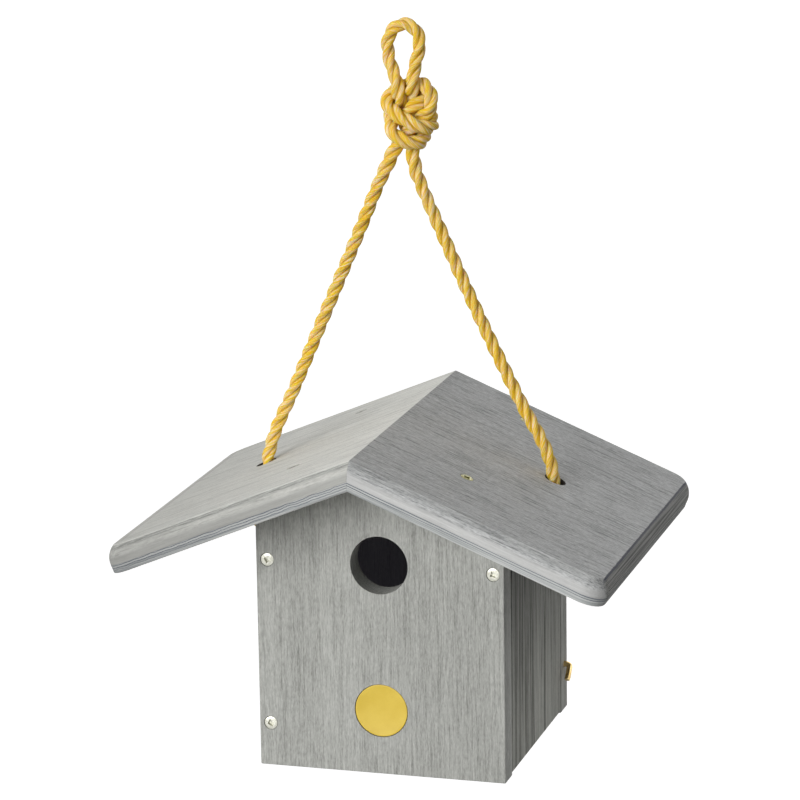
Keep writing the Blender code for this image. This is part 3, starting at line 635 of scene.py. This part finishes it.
def modelScrew(length):
    s = screwSettings
    screw = addShape(
        "screw", bpy.ops.mesh.primitive_cylinder_add, vertices=48,
        radius=s["head"] / 2 * mm, depth=s["rim"] * mm, location=(0, 0, -s["rim"] / 2 * mm),
    )
    pickFaces(screw, lambda c, n: n.z > 0.9)
    insetBy(s["crownIn"], s["crown"])
    pickFaces(screw, lambda c, n: n.z < -0.9)
    insetBy((s["head"] - s["shank"]) / 2, s["cone"] - s["rim"])
    extrudeUp(-s["smooth"])
    insetBy((s["shank"] - s["core"]) / 2, s["shoulder"])
    run = length - s["cone"] - s["smooth"] - s["shoulder"] - s["point"]
    extrudeUp(-run)
    extrudeUp(-s["point"])
    bpy.ops.transform.resize(value=(s["tip"], s["tip"], 1))
    setMode("OBJECT")
    for vertex in screw.data.vertices:
        vertex.co.z -= s["crown"] * mm
    # square drive, slightly drafted
    half = s["drive"] / math.sqrt(2) * mm
    drive = addShape(
        "drive", bpy.ops.mesh.primitive_cone_add, vertices=4,
        radius1=half * s["driveFoot"], radius2=half * s["driveMouth"],
        depth=(s["driveDepth"] + s["driveAbove"]) * mm,
        location=(0, 0, (s["driveAbove"] - s["driveDepth"]) / 2 * mm), rotation=(0, 0, math.pi / 4),
    )
    cutWith(screw, [drive])
    for face in screw.data.polygons:  # second material down in the drive
        down, out = -face.center.z / mm, max(abs(face.center.x), abs(face.center.y)) / mm
        if s["rim"] < down < s["dark"][0] and out < s["dark"][1]:
            face.material_index = 1
    # thread: one tooth wound down the core
    root, tip = (s["core"] / 2 - s["toothRoot"]) * mm, s["shank"] / 2 * mm
    top = -(s["cone"] + s["smooth"] + s["toothDown"]) * mm
    corners = [(root, 0, top), (tip, 0, top - s["toothMid"] * mm), (root, 0, top - s["toothBase"] * mm)]
    tooth = bpy.data.meshes.new("thread")
    tooth.from_pydata(corners, [(0, 1), (1, 2), (2, 0)], [])
    thread = newObject("thread", tooth)
    wind = thread.modifiers.new("wind", "SCREW")
    wind.axis = "Z"
    wind.angle = 2 * math.pi
    wind.screw_offset = -s["pitch"] * mm
    wind.iterations = int(run / s["pitch"])
    wind.steps = wind.render_steps = 16
    useModifiers(thread)
    setMode("EDIT")
    bpy.ops.mesh.select_all(action="DESELECT")
    bpy.ops.mesh.select_mode(type="EDGE")
    bpy.ops.mesh.select_non_manifold()
    bpy.ops.mesh.edge_face_add()
    bpy.ops.mesh.select_all(action="SELECT")
    bpy.ops.mesh.normals_make_consistent(inside=False)
    setMode("OBJECT")
    screw.select_set(True)
    bpy.context.view_layer.objects.active = screw
    bpy.ops.object.join()
    smoothByAngle(screw, 40)
    return screw


def metalMaterial(name, tones, metal, patches, shine, bump, fine=None):
    # patches: rate of the mottling, and where one tone goes over to the other
    # fine: stretch and seed of the scratches
    material, w, shader = newMaterial(name)
    place = w.objectPlace()
    rate, low, high = patches
    mottle = w.noise(place, rate, 3.0)
    scratch = w.noise(place, fine[0], seed=fine[1]) if fine else mottle
    w.fill(shader, {
        "Base Color": w.blend(w.band(mottle, low, high), *tones),
        "Metallic": metal,
        "Roughness": w.band(scratch, 0.3, 0.7, *shine),
        "Normal": w.bump(scratch, bump),
    })
    return material


def headTurn(direction, roll):
    turn = Vector(direction).normalized().to_track_quat("-Z", "Y").to_matrix().to_4x4()
    return turn @ Matrix.Rotation(math.radians(roll), 4, "Z")


# where each head sits, which way its point goes and how far its drive is turned
roofX = boxHalf - 18.6
roofZ = ridgeTop - roofX * math.tan(pitch)
downRight, downLeft = (-math.sin(pitch), 0, -math.cos(pitch)), (math.sin(pitch), 0, -math.cos(pitch))
screwPlaces = {
    "screw_front_left_top": ((-56.0, 0, 103.8), (0, 1, 0), 27),
    "screw_front_left_low": ((-56.0, 0, 21.4), (0, 1, 0), 62),
    "screw_front_pivot": ((56.3, 0, 103.8), (0, 1, 0), 75),
    "screw_back_left_top": ((-56.0, depth, 103.8), (0, -1, 0), 20),
    "screw_back_left_low": ((-56.0, depth, 21.4), (0, -1, 0), 62),
    "screw_back_pivot": ((56.3, depth, 103.8), (0, -1, 0), 33),
    "screw_roof_right_front": ((roofX, 4.0, roofZ), downRight, 15),
    "screw_roof_right_back": ((roofX, depth - 6.6, roofZ), downRight, 50),
    "screw_roof_left_front": ((-roofX, 4.0, roofZ), downLeft, 15),
    "screw_roof_left_back": ((-roofX, depth - 6.6, roofZ), downLeft, 50),
    "screw_floor_side_front": ((-boxHalf, 35.0, 12.7), (1, 0, 0), 28),
    "screw_floor_side_back": ((-boxHalf, depth - 35.0, 12.7), (1, 0, 0), 28),
    "screw_floor_back": ((0, depth, 12.7), (0, -1, 0), 10),
}
headLook = {
    "patches": (900.0, 0.35, 0.7), "shine": (0.30, 0.46), "bump": 0.02, "fine": ((700, 5200, 700), 2.0),
}
driveLook = {"metal": 0.15, "patches": (1400.0, 0.4, 0.65), "shine": (0.4, 0.6), "bump": 0.03}
zinc = metalMaterial("zincScrew", ((0.66, 0.66, 0.585), (0.50, 0.495, 0.42)), 0.75, **headLook)
# right roof screw heads: yellow zinc, darkened with a painted reflection of the dark surroundings
roofZinc = metalMaterial("yellowScrewShaded", ((0.42, 0.40, 0.17), (0.15, 0.145, 0.06)), 0.55, **headLook)
dullZinc = metalMaterial("dullScrew", ((0.36, 0.36, 0.32), (0.17, 0.17, 0.15)), 0.7, **headLook)
# painted shade in the drive recess of the screws off the roof
driveShade = metalMaterial("screwDriveShade", ((0.014, 0.012, 0.007), (0.06, 0.05, 0.018)), **driveLook)
# painted glint: the roof screws' drives are pale
glintDrive = metalMaterial("roofDriveGlint", ((0.6, 0.6, 0.5), (0.85, 0.85, 0.78)), **driveLook)
screwModels = {size: modelScrew(length) for size, length in screwSettings["lengths"].items()}
for nodeName, (head, way, roll) in screwPlaces.items():
    onRoof = "_roof_" in nodeName
    model = screwModels["long" if onRoof else "short"]
    piece = newObject(nodeName.replace("screw_", "screwPiece_"), model.data.copy())
    sunk = spot(*head) + Vector(way).normalized() * screwSettings["sink"] * mm
    applyPlace(piece, Matrix.Translation(sunk) @ headTurn(way, roll))
    roofHead = roofZinc if "_right_" in nodeName else dullZinc
    finishPiece(piece, roofHead if onRoof else zinc, "house", "screw", nodeName)
    piece.data.materials.append(glintDrive if onRoof else driveShade)
for model in screwModels.values():
    bpy.data.objects.remove(model, do_unlink=True)
print("screws placed:", len(screwPlaces))

boreSettings = {"foot": 2.05, "mouth": 3.52, "depth": 2.6, "above": 2.0, "below": 34.0}


def boreAt(nodeName):
    # countersunk bore for a screw, a little wider than its head
    b, (head, way, _) = boreSettings, screwPlaces[nodeName]
    cone = addShape(
        "bore", bpy.ops.mesh.primitive_cone_add, vertices=48, location=(0, 0, -b["depth"] / 2 * mm),
        radius1=b["foot"] * mm, radius2=b["mouth"] * mm, depth=b["depth"] * mm,
    )
    pickFaces(cone, lambda c, n: n.z > 0.9)
    extrudeUp(b["above"])
    pickFaces(cone, lambda c, n: n.z < -0.9)
    extrudeUp(-b["below"])
    setMode("OBJECT")
    applyPlace(cone, Matrix.Translation(spot(*head)) @ headTurn(way, 0))
    return cone


# front panel, with the recess for the badge
frontSettings = {
    "width": 123.2, "tall": 170, "underRoof": 0.3, "arris": 0.6, "entrance": 28.6, "entranceZ": 104.6,
    "screws": ("front_left_top", "front_left_low", "front_pivot", "roof_left_front", "roof_right_front"),
}
badgeSettings = {
    "across": 26.0, "thick": 1.2, "sink": 0.25, "z": 31.9, "room": 0.3,
    "border": 0.9, "rim": 0.35, "rimDown": 0.06, "arris": 0.2,
}
frontLook = {
    "pale": (0.50, 0.505, 0.475), "deep": (0.222, 0.224, 0.207), "bump": 0.08,
    "grain": {
        "Flecks": 1.4, "Scale": 0.62, "Lines": 0.24, "Rate": 26, "Spread": 800, "Bands": 0.36,
        "Wander": 0.001,
    },
}


def roundAt(name, radius, low, high, z):
    # a cylinder along the depth, on the middle of the house
    return addShape(
        name, bpy.ops.mesh.primitive_cylinder_add, vertices=128, radius=radius * mm,
        depth=(high - low) * mm, location=spot(0, (low + high) / 2, z), rotation=(math.pi / 2, 0, 0),
    )


def buildFrontPanel():
    f, b = frontSettings, badgeSettings
    low, high = spot(-f["width"] / 2, 0, 0), spot(f["width"] / 2, boardThick, f["tall"])
    panel = addShape(
        "frontPanel", bpy.ops.mesh.primitive_cube_add, size=1, location=(low + high) / 2, scale=high - low
    )
    setMode("EDIT")
    for sign in (1, -1):  # gable slopes
        bpy.ops.mesh.select_all(action="SELECT")
        bpy.ops.mesh.bisect(
            plane_co=spot(0, 0, gablePeak - f["underRoof"] / math.cos(pitch)),
            plane_no=(sign * math.sin(pitch), 0, math.cos(pitch)), use_fill=True, clear_outer=True,
        )
    setMode("OBJECT")
    easeEdges(panel, f["arris"])
    cutters = [
        roundAt("entrance", f["entrance"] / 2, -4, boardThick + 4, f["entranceZ"]),
        roundAt("recess", b["across"] / 2 + b["room"], -4, b["sink"] + b["thick"] + b["room"], b["z"]),
    ]
    cutWith(panel, cutters + [boreAt("screw_" + name) for name in f["screws"]])
    smoothByAngle(panel)
    return panel


finishPiece(buildFrontPanel(), boardMaterial("frontBoard", **frontLook), "house", "panel", "front_panel")
print("front panel cut")


# badge, left bare
def buildBadge():
    b = badgeSettings
    badge = roundAt("badgeDisc", b["across"] / 2, b["sink"], b["sink"] + b["thick"], b["z"])
    pickFaces(badge, lambda c, n: n.y < -0.9)
    insetBy(b["border"])
    insetBy(b["rim"], -b["rimDown"])  # faint rim round the bare field
    setMode("OBJECT")
    easeEdges(badge, b["arris"], 60)
    smoothByAngle(badge)
    return badge


def badgeMaterial():
    material, w, shader = newMaterial("yellowBadge")
    place = w.objectPlace()
    cloud, speck = w.noise(place, 90.0, 3.0), w.noise(place, 2600.0)
    colour = w.blend(w.band(cloud, 0.3, 0.7), (0.68, 0.48, 0.05), (0.73, 0.53, 0.068))
    w.fill(shader, {
        "Base Color": w.blend(w.band(speck, 0.5, 0.8, 0.0, 0.25), colour, (0.55, 0.38, 0.05)),
        "Roughness": w.band(cloud, 0.3, 0.7, 0.36, 0.5),
        "Normal": w.bump(speck, 0.03),
    })
    return material


finishPiece(buildBadge(), badgeMaterial(), "house", "badge", "badge_disc")
print("badge set")

# roof boards
roofSettings = {
    "front": 49.2, "back": 22.5, "side": 67.8, "pastRidge": 40, "ridgeGap": 0.03, "ropeHole": 10.0,
    "cornerRadius": 12.0, "arris": 0.6, "edgeRadius": 9.5, "edgeFlat": 4.4, "edgeSteps": 10,
    "flatTop": (-8.2, -8.45), "flatFoot": (-12.62, -12.4),  # where the edge's flat band begins and ends
    "lines": (-8.75, -9.85, -10.9),  # heights of the dark lines on it
    "flatTones": ((0.36, 0.38, 0.38), (0.60, 0.615, 0.60)),
    "eaveShadeTones": ((0.075, 0.075, 0.072), (0.33, 0.33, 0.315)),
    "highlightPlyTone": (1.0, 1.0, 0.97), "stepShadeTone": (0.16, 0.165, 0.155), "eaveCreaseShadeTone": (0.05, 0.055, 0.08),
    "lineTone": (0.08, 0.09, 0.14), "holeShadeTone": (0.07, 0.065, 0.06),
}
roofLooks = {
    "right": {
        "pale": (0.64, 0.648, 0.645), "deep": (0.243, 0.247, 0.247), "smoothHighlitBand": 0.62, "flatTone": 0.95,
        "highlightTones": ((0.86, 0.86, 0.845), (1.08, 1.08, 1.06)), "step": 0.35, "stepShadeDown": 3.4,
        "eave": 1.0, "eaveEdge": 5.2, "line": 0.16, "lastLine": 0.4, "wave": 0.9, "waveRate": 14,
        "ridgeTone": 0.97, "eaveTone": 1.03, "roundTone": 0.92,
        "grain": {
            "Flecks": 1.8, "Scale": 0.78, "Lines": 0.42, "Rate": 52, "Spread": 900, "Bands": 0.16,
            "Wander": 0.0004,
        },
    },
    "left": {
        "pale": (0.80, 0.80, 0.755), "deep": (0.49, 0.49, 0.46), "smoothHighlitBand": 0.505, "flatTone": 0.80,
        "highlightTones": ((0.86, 0.86, 0.81), (1.09, 1.09, 1.03)), "step": 0.8, "stepShadeDown": 2.7,
        "eave": 0.12, "eaveEdge": 9.3, "line": 0.14, "lastLine": 0.75, "wave": 1.9, "waveRate": 120,
        "ridgeTone": 1.12, "eaveTone": 0.80, "roundTone": 0.66,
        "grain": {
            "Flecks": 1.6, "Scale": 0.45, "Lines": 0.34, "Rate": 28, "Spread": 450, "Bands": 0.2,
            "Wander": 0.0005,
        },
    },
}
roofSlope = boxHalf / math.cos(pitch) + roofSettings["side"]  # from the ridge to the eave


def buildRoofBoard(side, sign):
    r = roofSettings
    middleY = (depth + r["back"] - r["front"]) / 2
    board = addShape(
        "roofBoard_" + side, bpy.ops.mesh.primitive_cube_add, size=1,
        location=Vector(((roofSlope - r["pastRidge"]) / 2, 0, -boardThick + r["edgeFlat"] / 2)) * mm,
        scale=Vector((roofSlope + r["pastRidge"], r["front"] + depth + r["back"], r["edgeFlat"])) * mm,
    )
    pickEdges(board, lambda p, q: p.x > 0.05 and q.x > 0.05 and abs(p.z - q.z) > 0.001)
    bpy.ops.mesh.bevel(offset=r["cornerRadius"] * mm, segments=12, affect="EDGES")
    pickEdges(board, lambda p, q: max(p.z, q.z) < (-boardThick + 0.01) * mm)
    bpy.ops.mesh.bevel(offset=r["arris"] * mm, segments=2, affect="EDGES")
    # the rounded edge, level by level, up to the crisp line round the top face
    pickFaces(board, lambda c, n: n.z > 0.9)
    sweep = math.asin(min(1.0, (boardThick - r["edgeFlat"]) / r["edgeRadius"]))
    wasIn = wasUp = 0.0
    for step in range(1, r["edgeSteps"] + 1):
        angle = sweep * step / r["edgeSteps"]
        goIn, goUp = r["edgeRadius"] * (1 - math.cos(angle)), r["edgeRadius"] * math.sin(angle)
        insetBy(goIn - wasIn, goUp - wasUp)
        wasIn, wasUp = goIn, goUp
    setMode("OBJECT")
    place = Matrix.Translation(spot(0, middleY, ridgeTop))
    if sign < 0:
        place = place @ Matrix.Rotation(math.pi, 4, "Z")
    applyPlace(board, place @ Matrix.Rotation(pitch, 4, "Y"))
    setMode("EDIT")
    bpy.ops.mesh.select_all(action="SELECT")
    ridgeGap = sign * r["ridgeGap"] * mm
    bpy.ops.mesh.bisect(plane_co=(ridgeGap, 0, 0), plane_no=(sign, 0, 0), use_fill=True, clear_inner=True)
    setMode("OBJECT")
    hole = addShape(
        "ropeHole", bpy.ops.mesh.primitive_cylinder_add, vertices=64,
        radius=r["ropeHole"] / 2 * mm, depth=50 * mm,
        location=spot(sign * ropeHoleX, ropeY, ridgeTop - ropeHoleX * math.tan(pitch)),
    )
    cutWith(board, [hole] + [boreAt("screw_roof_" + side + "_" + end) for end in ("front", "back")])
    smoothByAngle(board, 20)
    return board


def toned(colour, amount):
    return tuple(value * amount for value in colour)


def roofMaterial(side, sign):
    # board place: X down the slope, Z square to it, zero on the top face
    material, w, shader = newMaterial("roofBoard_" + side)
    r, look = roofSettings, roofLooks[side]
    where = w.objectPlace()
    lifted = w.vector("SUBTRACT", {0: where, 1: spot(0, 0, ridgeTop)})
    place = w.mapping(lifted, {"Rotation": (0, -sign * pitch, 0)})
    grain = useGrain(w, place, look["pale"], look["deep"], look["grain"])
    across, along, up = w.split(place)
    level = w.times(up, 1000.0)  # millimetres, zero on the top face and less below it
    wave = w.swing(w.noise(place, look["waveRate"], 3.0), 0.9)
    wavy = w.plus(level, w.times(wave, 0.5))
    # how far in from the eave and from the nearer end of the board, in millimetres
    eaveAway = w.minus(roofSlope, w.times(w.size(across), 1000.0))
    alongDepth = w.times(along, 1000.0)
    endAway = w.maths("MINIMUM", w.plus(alongDepth, r["front"]), w.minus(depth + r["back"], alongDepth))
    edgeIn = w.plus(eaveAway, w.swing(w.noise(place, (60, 420, 60)), 0.7))
    # lower down, the painted highlight of the front edge runs on round the corner
    wrap = w.band(level, 0.0, -8.0, 0.0, 6.0, False)
    nearEave = w.band(w.minus(w.minus(endAway, eaveAway), wrap), 0.0, 5.0)
    # painted shade on the eave's rounding, which faces away from the light: full on the right board, faint
    # on the left; its streaks are real
    edge = look["eaveEdge"]
    onEave = w.times(nearEave, w.band(edgeIn, edge, edge - 0.6, 0.0, look["eave"]))
    # a darker line of painted shade in the crease where the eave's rounding starts
    eaveCreaseShade = w.times(onEave, w.band(edgeIn, edge, edge - 0.4), w.band(edgeIn, edge - 1.9, edge - 0.9))
    onRound = w.minus(1.0, nearEave)
    # painted shade in the small step where the round-over starts, broken up along the board
    underStep = w.band(wavy, -look["stepShadeDown"], -look["stepShadeDown"] * 0.45)
    step = w.times(onRound, w.band(level, -0.1, -0.4), underStep)
    # painted highlight: the lower half of the round-over is paler; the same band is also a little smoother
    smoothHighlitBand = w.times(onRound, w.band(wavy, -3.4, -5.6), w.band(level, -8.5, -8.2))
    onFlat = w.times(w.band(level, *r["flatTop"]), w.band(level, *r["flatFoot"]))

    def lineAt(height, width):
        away = w.size(w.minus(w.plus(level, w.times(wave, look["wave"])), height))
        return w.band(away, width, width * 0.5)

    upper, middle, lower = r["lines"]
    lines = w.maths("ADD", lineAt(upper, look["line"]), lineAt(middle, look["line"] * 0.95), clamp=True)
    lines = w.maths("ADD", lines, w.times(lineAt(lower, 0.13), look["lastLine"]), clamp=True)
    lines = w.times(lines, onFlat)
    plies = w.noise(place, (14, 14, 1300), 3.0, 0.65, 6.0)
    streaks = w.noise(place, (1200, 9, 1500), 3.0, 0.7, 4.0)
    satin = w.noise(place, (10, 10, 420), seed=8.0)
    broken = w.band(w.noise(place, (110, 420, 3600), 3.0, 0.65, 9.0), 0.38, 0.6, 0.5, 1.0)
    # colours of the painted highlight, with darker plies striped through it
    highlightTones = (toned(tone, look["smoothHighlitBand"]) for tone in look["highlightTones"])
    highlightColour = w.blend(w.band(satin, 0.3, 0.7), *highlightTones)
    highlightPlyTone = toned(r["highlightPlyTone"], look["smoothHighlitBand"] * 0.62)
    highlightColour = w.blend(w.band(plies, 0.5, 0.3, 0.0, 0.5), highlightColour, highlightPlyTone)
    flatTones = (toned(tone, look["flatTone"]) for tone in r["flatTones"])
    flatColour = w.blend(w.band(plies, 0.38, 0.58), *flatTones)
    colour = w.coats(grain["Color"], [
        (w.times(smoothHighlitBand, 0.8), highlightColour),
        (w.times(step, broken, look["step"]), r["stepShadeTone"]),
        (onFlat, flatColour),
        (onEave, w.blend(w.band(streaks, 0.36, 0.62), *r["eaveShadeTones"])),
        (w.times(eaveCreaseShade, 0.8), r["eaveCreaseShadeTone"]),
        (w.times(lines, 0.95), r["lineTone"]),
    ])
    rounded = w.band(level, -0.3, -3.0, 1.0, look["roundTone"])
    rounded = w.maths("MAXIMUM", rounded, w.band(level, *r["flatTop"]))
    colour = w.blend(1.0, colour, rounded, "MULTIPLY")
    # painted light down the slope, from ridgeTone at the ridge to eaveTone at the eave
    slopeLight = w.band(w.size(across), 0.0, roofSlope * mm, look["ridgeTone"], look["eaveTone"], False)
    colour = w.blend(1.0, colour, slopeLight, "MULTIPLY")
    # painted shade inside the rope hole
    holeAway = w.vector("SUBTRACT", {0: where, 1: spot(sign * ropeHoleX, ropeY, 0)})
    holeAway = w.vector("LENGTH", {0: w.vector("MULTIPLY", {0: holeAway, 1: (1, 1, 0)})}, "Value")
    inHole = w.band(holeAway, (r["ropeHole"] / 2 + 0.15) * mm, (r["ropeHole"] / 2 + 0.03) * mm)
    rise = w.times(grain["Height"], w.minus(1.0, w.times(smoothHighlitBand, 0.8)))
    rise = w.minus(w.plus(rise, w.times(onEave, streaks)), w.times(lines, 1.6))
    w.fill(shader, {
        "Base Color": w.blend(inHole, colour, r["holeShadeTone"]),
        "Roughness": w.minus(grain["Roughness"], w.times(smoothHighlitBand, 0.15)),
        "Specular IOR Level": boardSettings["specular"],
        "Normal": w.bump(rise, 0.12),
    })
    return material


for side, sign in (("right", 1), ("left", -1)):
    board = buildRoofBoard(side, sign)
    finishPiece(board, roofMaterial(side, sign), "house", "roof", "roof_board_" + side)
print("roof boards shaped")

# boards that keep the model's own shape
sideLook = {
    "pale": (0.53, 0.535, 0.49), "deep": (0.128, 0.128, 0.114), "shift": (0.3, 0.2, 0.1), "underRoofShade": 0.6,
    "grain": {"Flecks": 0.7, "Scale": 0.6, "Lines": 0.75, "Rate": 9, "Spread": 620, "Bands": 0.6},
}
backLook = {
    "pale": (0.51, 0.515, 0.485), "deep": (0.22, 0.22, 0.205), "shift": (0.7, 0.5, 0.2),
    "grain": {"Flecks": 0.8, "Scale": 0.7, "Lines": 0.4, "Rate": 30, "Spread": 900, "Bands": 0.6},
}
floorLook = {
    "pale": (0.47, 0.47, 0.44), "deep": (0.2, 0.2, 0.19), "turn": (0, 0, 0),
    "grain": {"Flecks": 0.7, "Scale": 0.7, "Lines": 0.5, "Rate": 30, "Spread": 800, "Bands": 0.5},
}
insideGlowSettings = {"from": 12.3, "full": 12.6, "lift": (0.85, 0.8, 1.0), "strength": 0.008}


def glowInside(material):
    # painted light: a faint glow on the faces inside the box, so the shade there is never quite black
    w, s = Wiring(material.node_tree), insideGlowSettings
    across, along, _ = w.split(w.objectPlace())
    near, far = spot(0, boardThick, 0)[1], spot(0, depth - boardThick, 0)[1]
    middle, reach = (near + far) / 2, (far - near) / 2 + 0.0002
    inWidth = w.band(w.size(across), (boxHalf - s["from"]) * mm, (boxHalf - s["full"]) * mm)
    inDepth = w.band(w.size(w.minus(along, middle)), reach + 0.0003, reach)
    glow = {"Emission Color": s["lift"], "Emission Strength": w.times(inWidth, inDepth, s["strength"])}
    w.fill(material.node_tree.nodes["Principled BSDF"], glow)


ownShape = {
    "sideBoard": (sideLook, ("left_side_board", "clean_out_door")),
    "backBoard": (backLook, ("back_panel",)),
    "floorBoard": (floorLook, ("floor_board",)),
}
for name, (look, nodeNames) in ownShape.items():
    material = boardMaterial(name, **look)
    glowInside(material)
    for nodeName in nodeNames:
        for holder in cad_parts[nodeName].material_slots:
            holder.material = material
print("other boards dressed")

# latch hook: wire with one square bend
latchSettings = {
    "wire": 2.9, "x": 61.6, "y": 116.4, "z": 24.1, "down": 45.0,
    "proud": 3.1, "arm": 8.9, "bend": 2.0, "bendSteps": 10, "bite": 10.0,
    "look": {
        "tones": ((0.88, 0.68, 0.34), (0.55, 0.36, 0.12)), "metal": 1.0, "patches": (420.0, 0.4, 0.7),
        "shine": (0.12, 0.26), "bump": 0.02, "fine": ((400, 2400, 2400), 3.0),
    },
}


def buildLatch():
    s = latchSettings
    proud, bend, arm = s["proud"], s["bend"], s["arm"]
    points = [(-s["bite"], 0, 0), (-6, 0, 0), (-2, 0, 0), (proud - bend, 0, 0)]
    for step in range(1, s["bendSteps"] + 1):
        angle = math.pi / 2 * step / s["bendSteps"]
        points.append((proud - bend + bend * math.sin(angle), -bend + bend * math.cos(angle), 0))
    points += [(proud, -5, 0), (proud, -arm + 0.35, 0), (proud, -arm + 0.1, 0), (proud, -arm, 0)]
    thin = [1.0] * (len(points) - 2) + [0.93, 0.78]
    curve = bpy.data.curves.new("latchHook", "CURVE")
    curve.dimensions = "3D"
    curve.bevel_depth = s["wire"] / 2 * mm
    curve.bevel_resolution = 10
    curve.use_fill_caps = True
    spline = curve.splines.new("POLY")
    spline.points.add(len(points) - 1)
    for point, place, width in zip(spline.points, points, thin):
        point.co = (*[c * mm for c in place], 1)
        point.radius = width
    spline.use_smooth = True
    soloSelect(newObject("latchHook", curve))
    bpy.ops.object.convert(target="MESH")
    hook = bpy.context.object
    turn = Matrix.Rotation(math.radians(s["down"]), 4, "X")
    applyPlace(hook, Matrix.Translation(spot(s["x"], s["y"], s["z"])) @ turn)
    smoothByAngle(hook, 40)
    return hook


brass = metalMaterial("brassWire", **latchSettings["look"])
finishPiece(buildLatch(), brass, "latch", "brass", "latch_hook")
print("latch hook bent")

# floor, backdrop and light
stageSettings = {"drop": 0.80, "size": 12, "tone": 0.45, "lift": 0.8, "world": 0.12}


def seenWhite(w):
    # 1 for the camera, mirrors and glass, and 0 for the light that falls on the object
    path = w.node("LightPath").outputs
    seen = w.maths("MAXIMUM", path["Is Camera Ray"], path["Is Glossy Ray"])
    return w.maths("MAXIMUM", seen, path["Is Transmission Ray"])


world = bpy.data.worlds.new("softStudio")
bpy.context.scene.world = world
world.use_nodes = True
w, made = Wiring(world.node_tree), world.node_tree.nodes
shade = w.fill(made["Background"], {"Color": (1, 1, 1), "Strength": stageSettings["world"]})
white = w.fill(w.node("Background"), {"Color": (1, 1, 1), "Strength": 1.0})
mix = w.fill(w.node("MixShader"), {0: seenWhite(w), 1: shade.outputs[0], 2: white.outputs[0]})
w.feed(made["World Output"].inputs["Surface"], mix.outputs[0])

studioFloor = addShape(
    "studioFloor", bpy.ops.mesh.primitive_plane_add, size=stageSettings["size"],
    location=(0, 0, -stageSettings["drop"]),
)
floorPaint, w, shader = newMaterial("studioFloor")
paint = {"Base Color": (stageSettings["tone"],) * 3, "Roughness": 0.9, "Specular IOR Level": 0.0}
# the white lift leaves the shadows on the paint
glow = w.fill(w.node("Emission"), {"Strength": w.times(seenWhite(w), stageSettings["lift"])})
both = w.fill(w.node("AddShader"), {0: w.fill(shader, paint).outputs[0], 1: glow.outputs[0]})
w.feed(floorPaint.node_tree.nodes["Material Output"].inputs["Surface"], both.outputs[0])
studioFloor.data.materials.append(floorPaint)

# soft suns: which way each one shines from (azimuth from the front, elevation), how wide and how strong
lamps = {
    "leftKey": {"from": (-75, 30), "wide": 30, "strength": 0.4},
    "frontSoft": {"from": (-20, 15), "wide": 38, "strength": 2.6},
    "topSoft": {"from": (-60, 75), "wide": 70, "strength": 0.36},
    "rightSoft": {"from": (100, 36), "wide": 40, "strength": 0.28},
    "backSoft": {"from": (168, 12), "wide": 50, "strength": 0.7},
}
for lampName, lamp in lamps.items():
    azimuth, height = (math.radians(a) for a in lamp["from"])
    level = math.cos(height)
    source = Vector((math.sin(azimuth) * level, -math.cos(azimuth) * level, math.sin(height)))
    light = addNew(bpy.ops.object.light_add, type="SUN", location=source * 2)
    light.name = lampName
    light.rotation_euler = (-source).to_track_quat("-Z", "Y").to_euler()
    light.data.angle = math.radians(lamp["wide"])
    light.data.energy = lamp["strength"]
bpy.context.scene.view_settings.view_transform = "Standard"
print("studio lit")
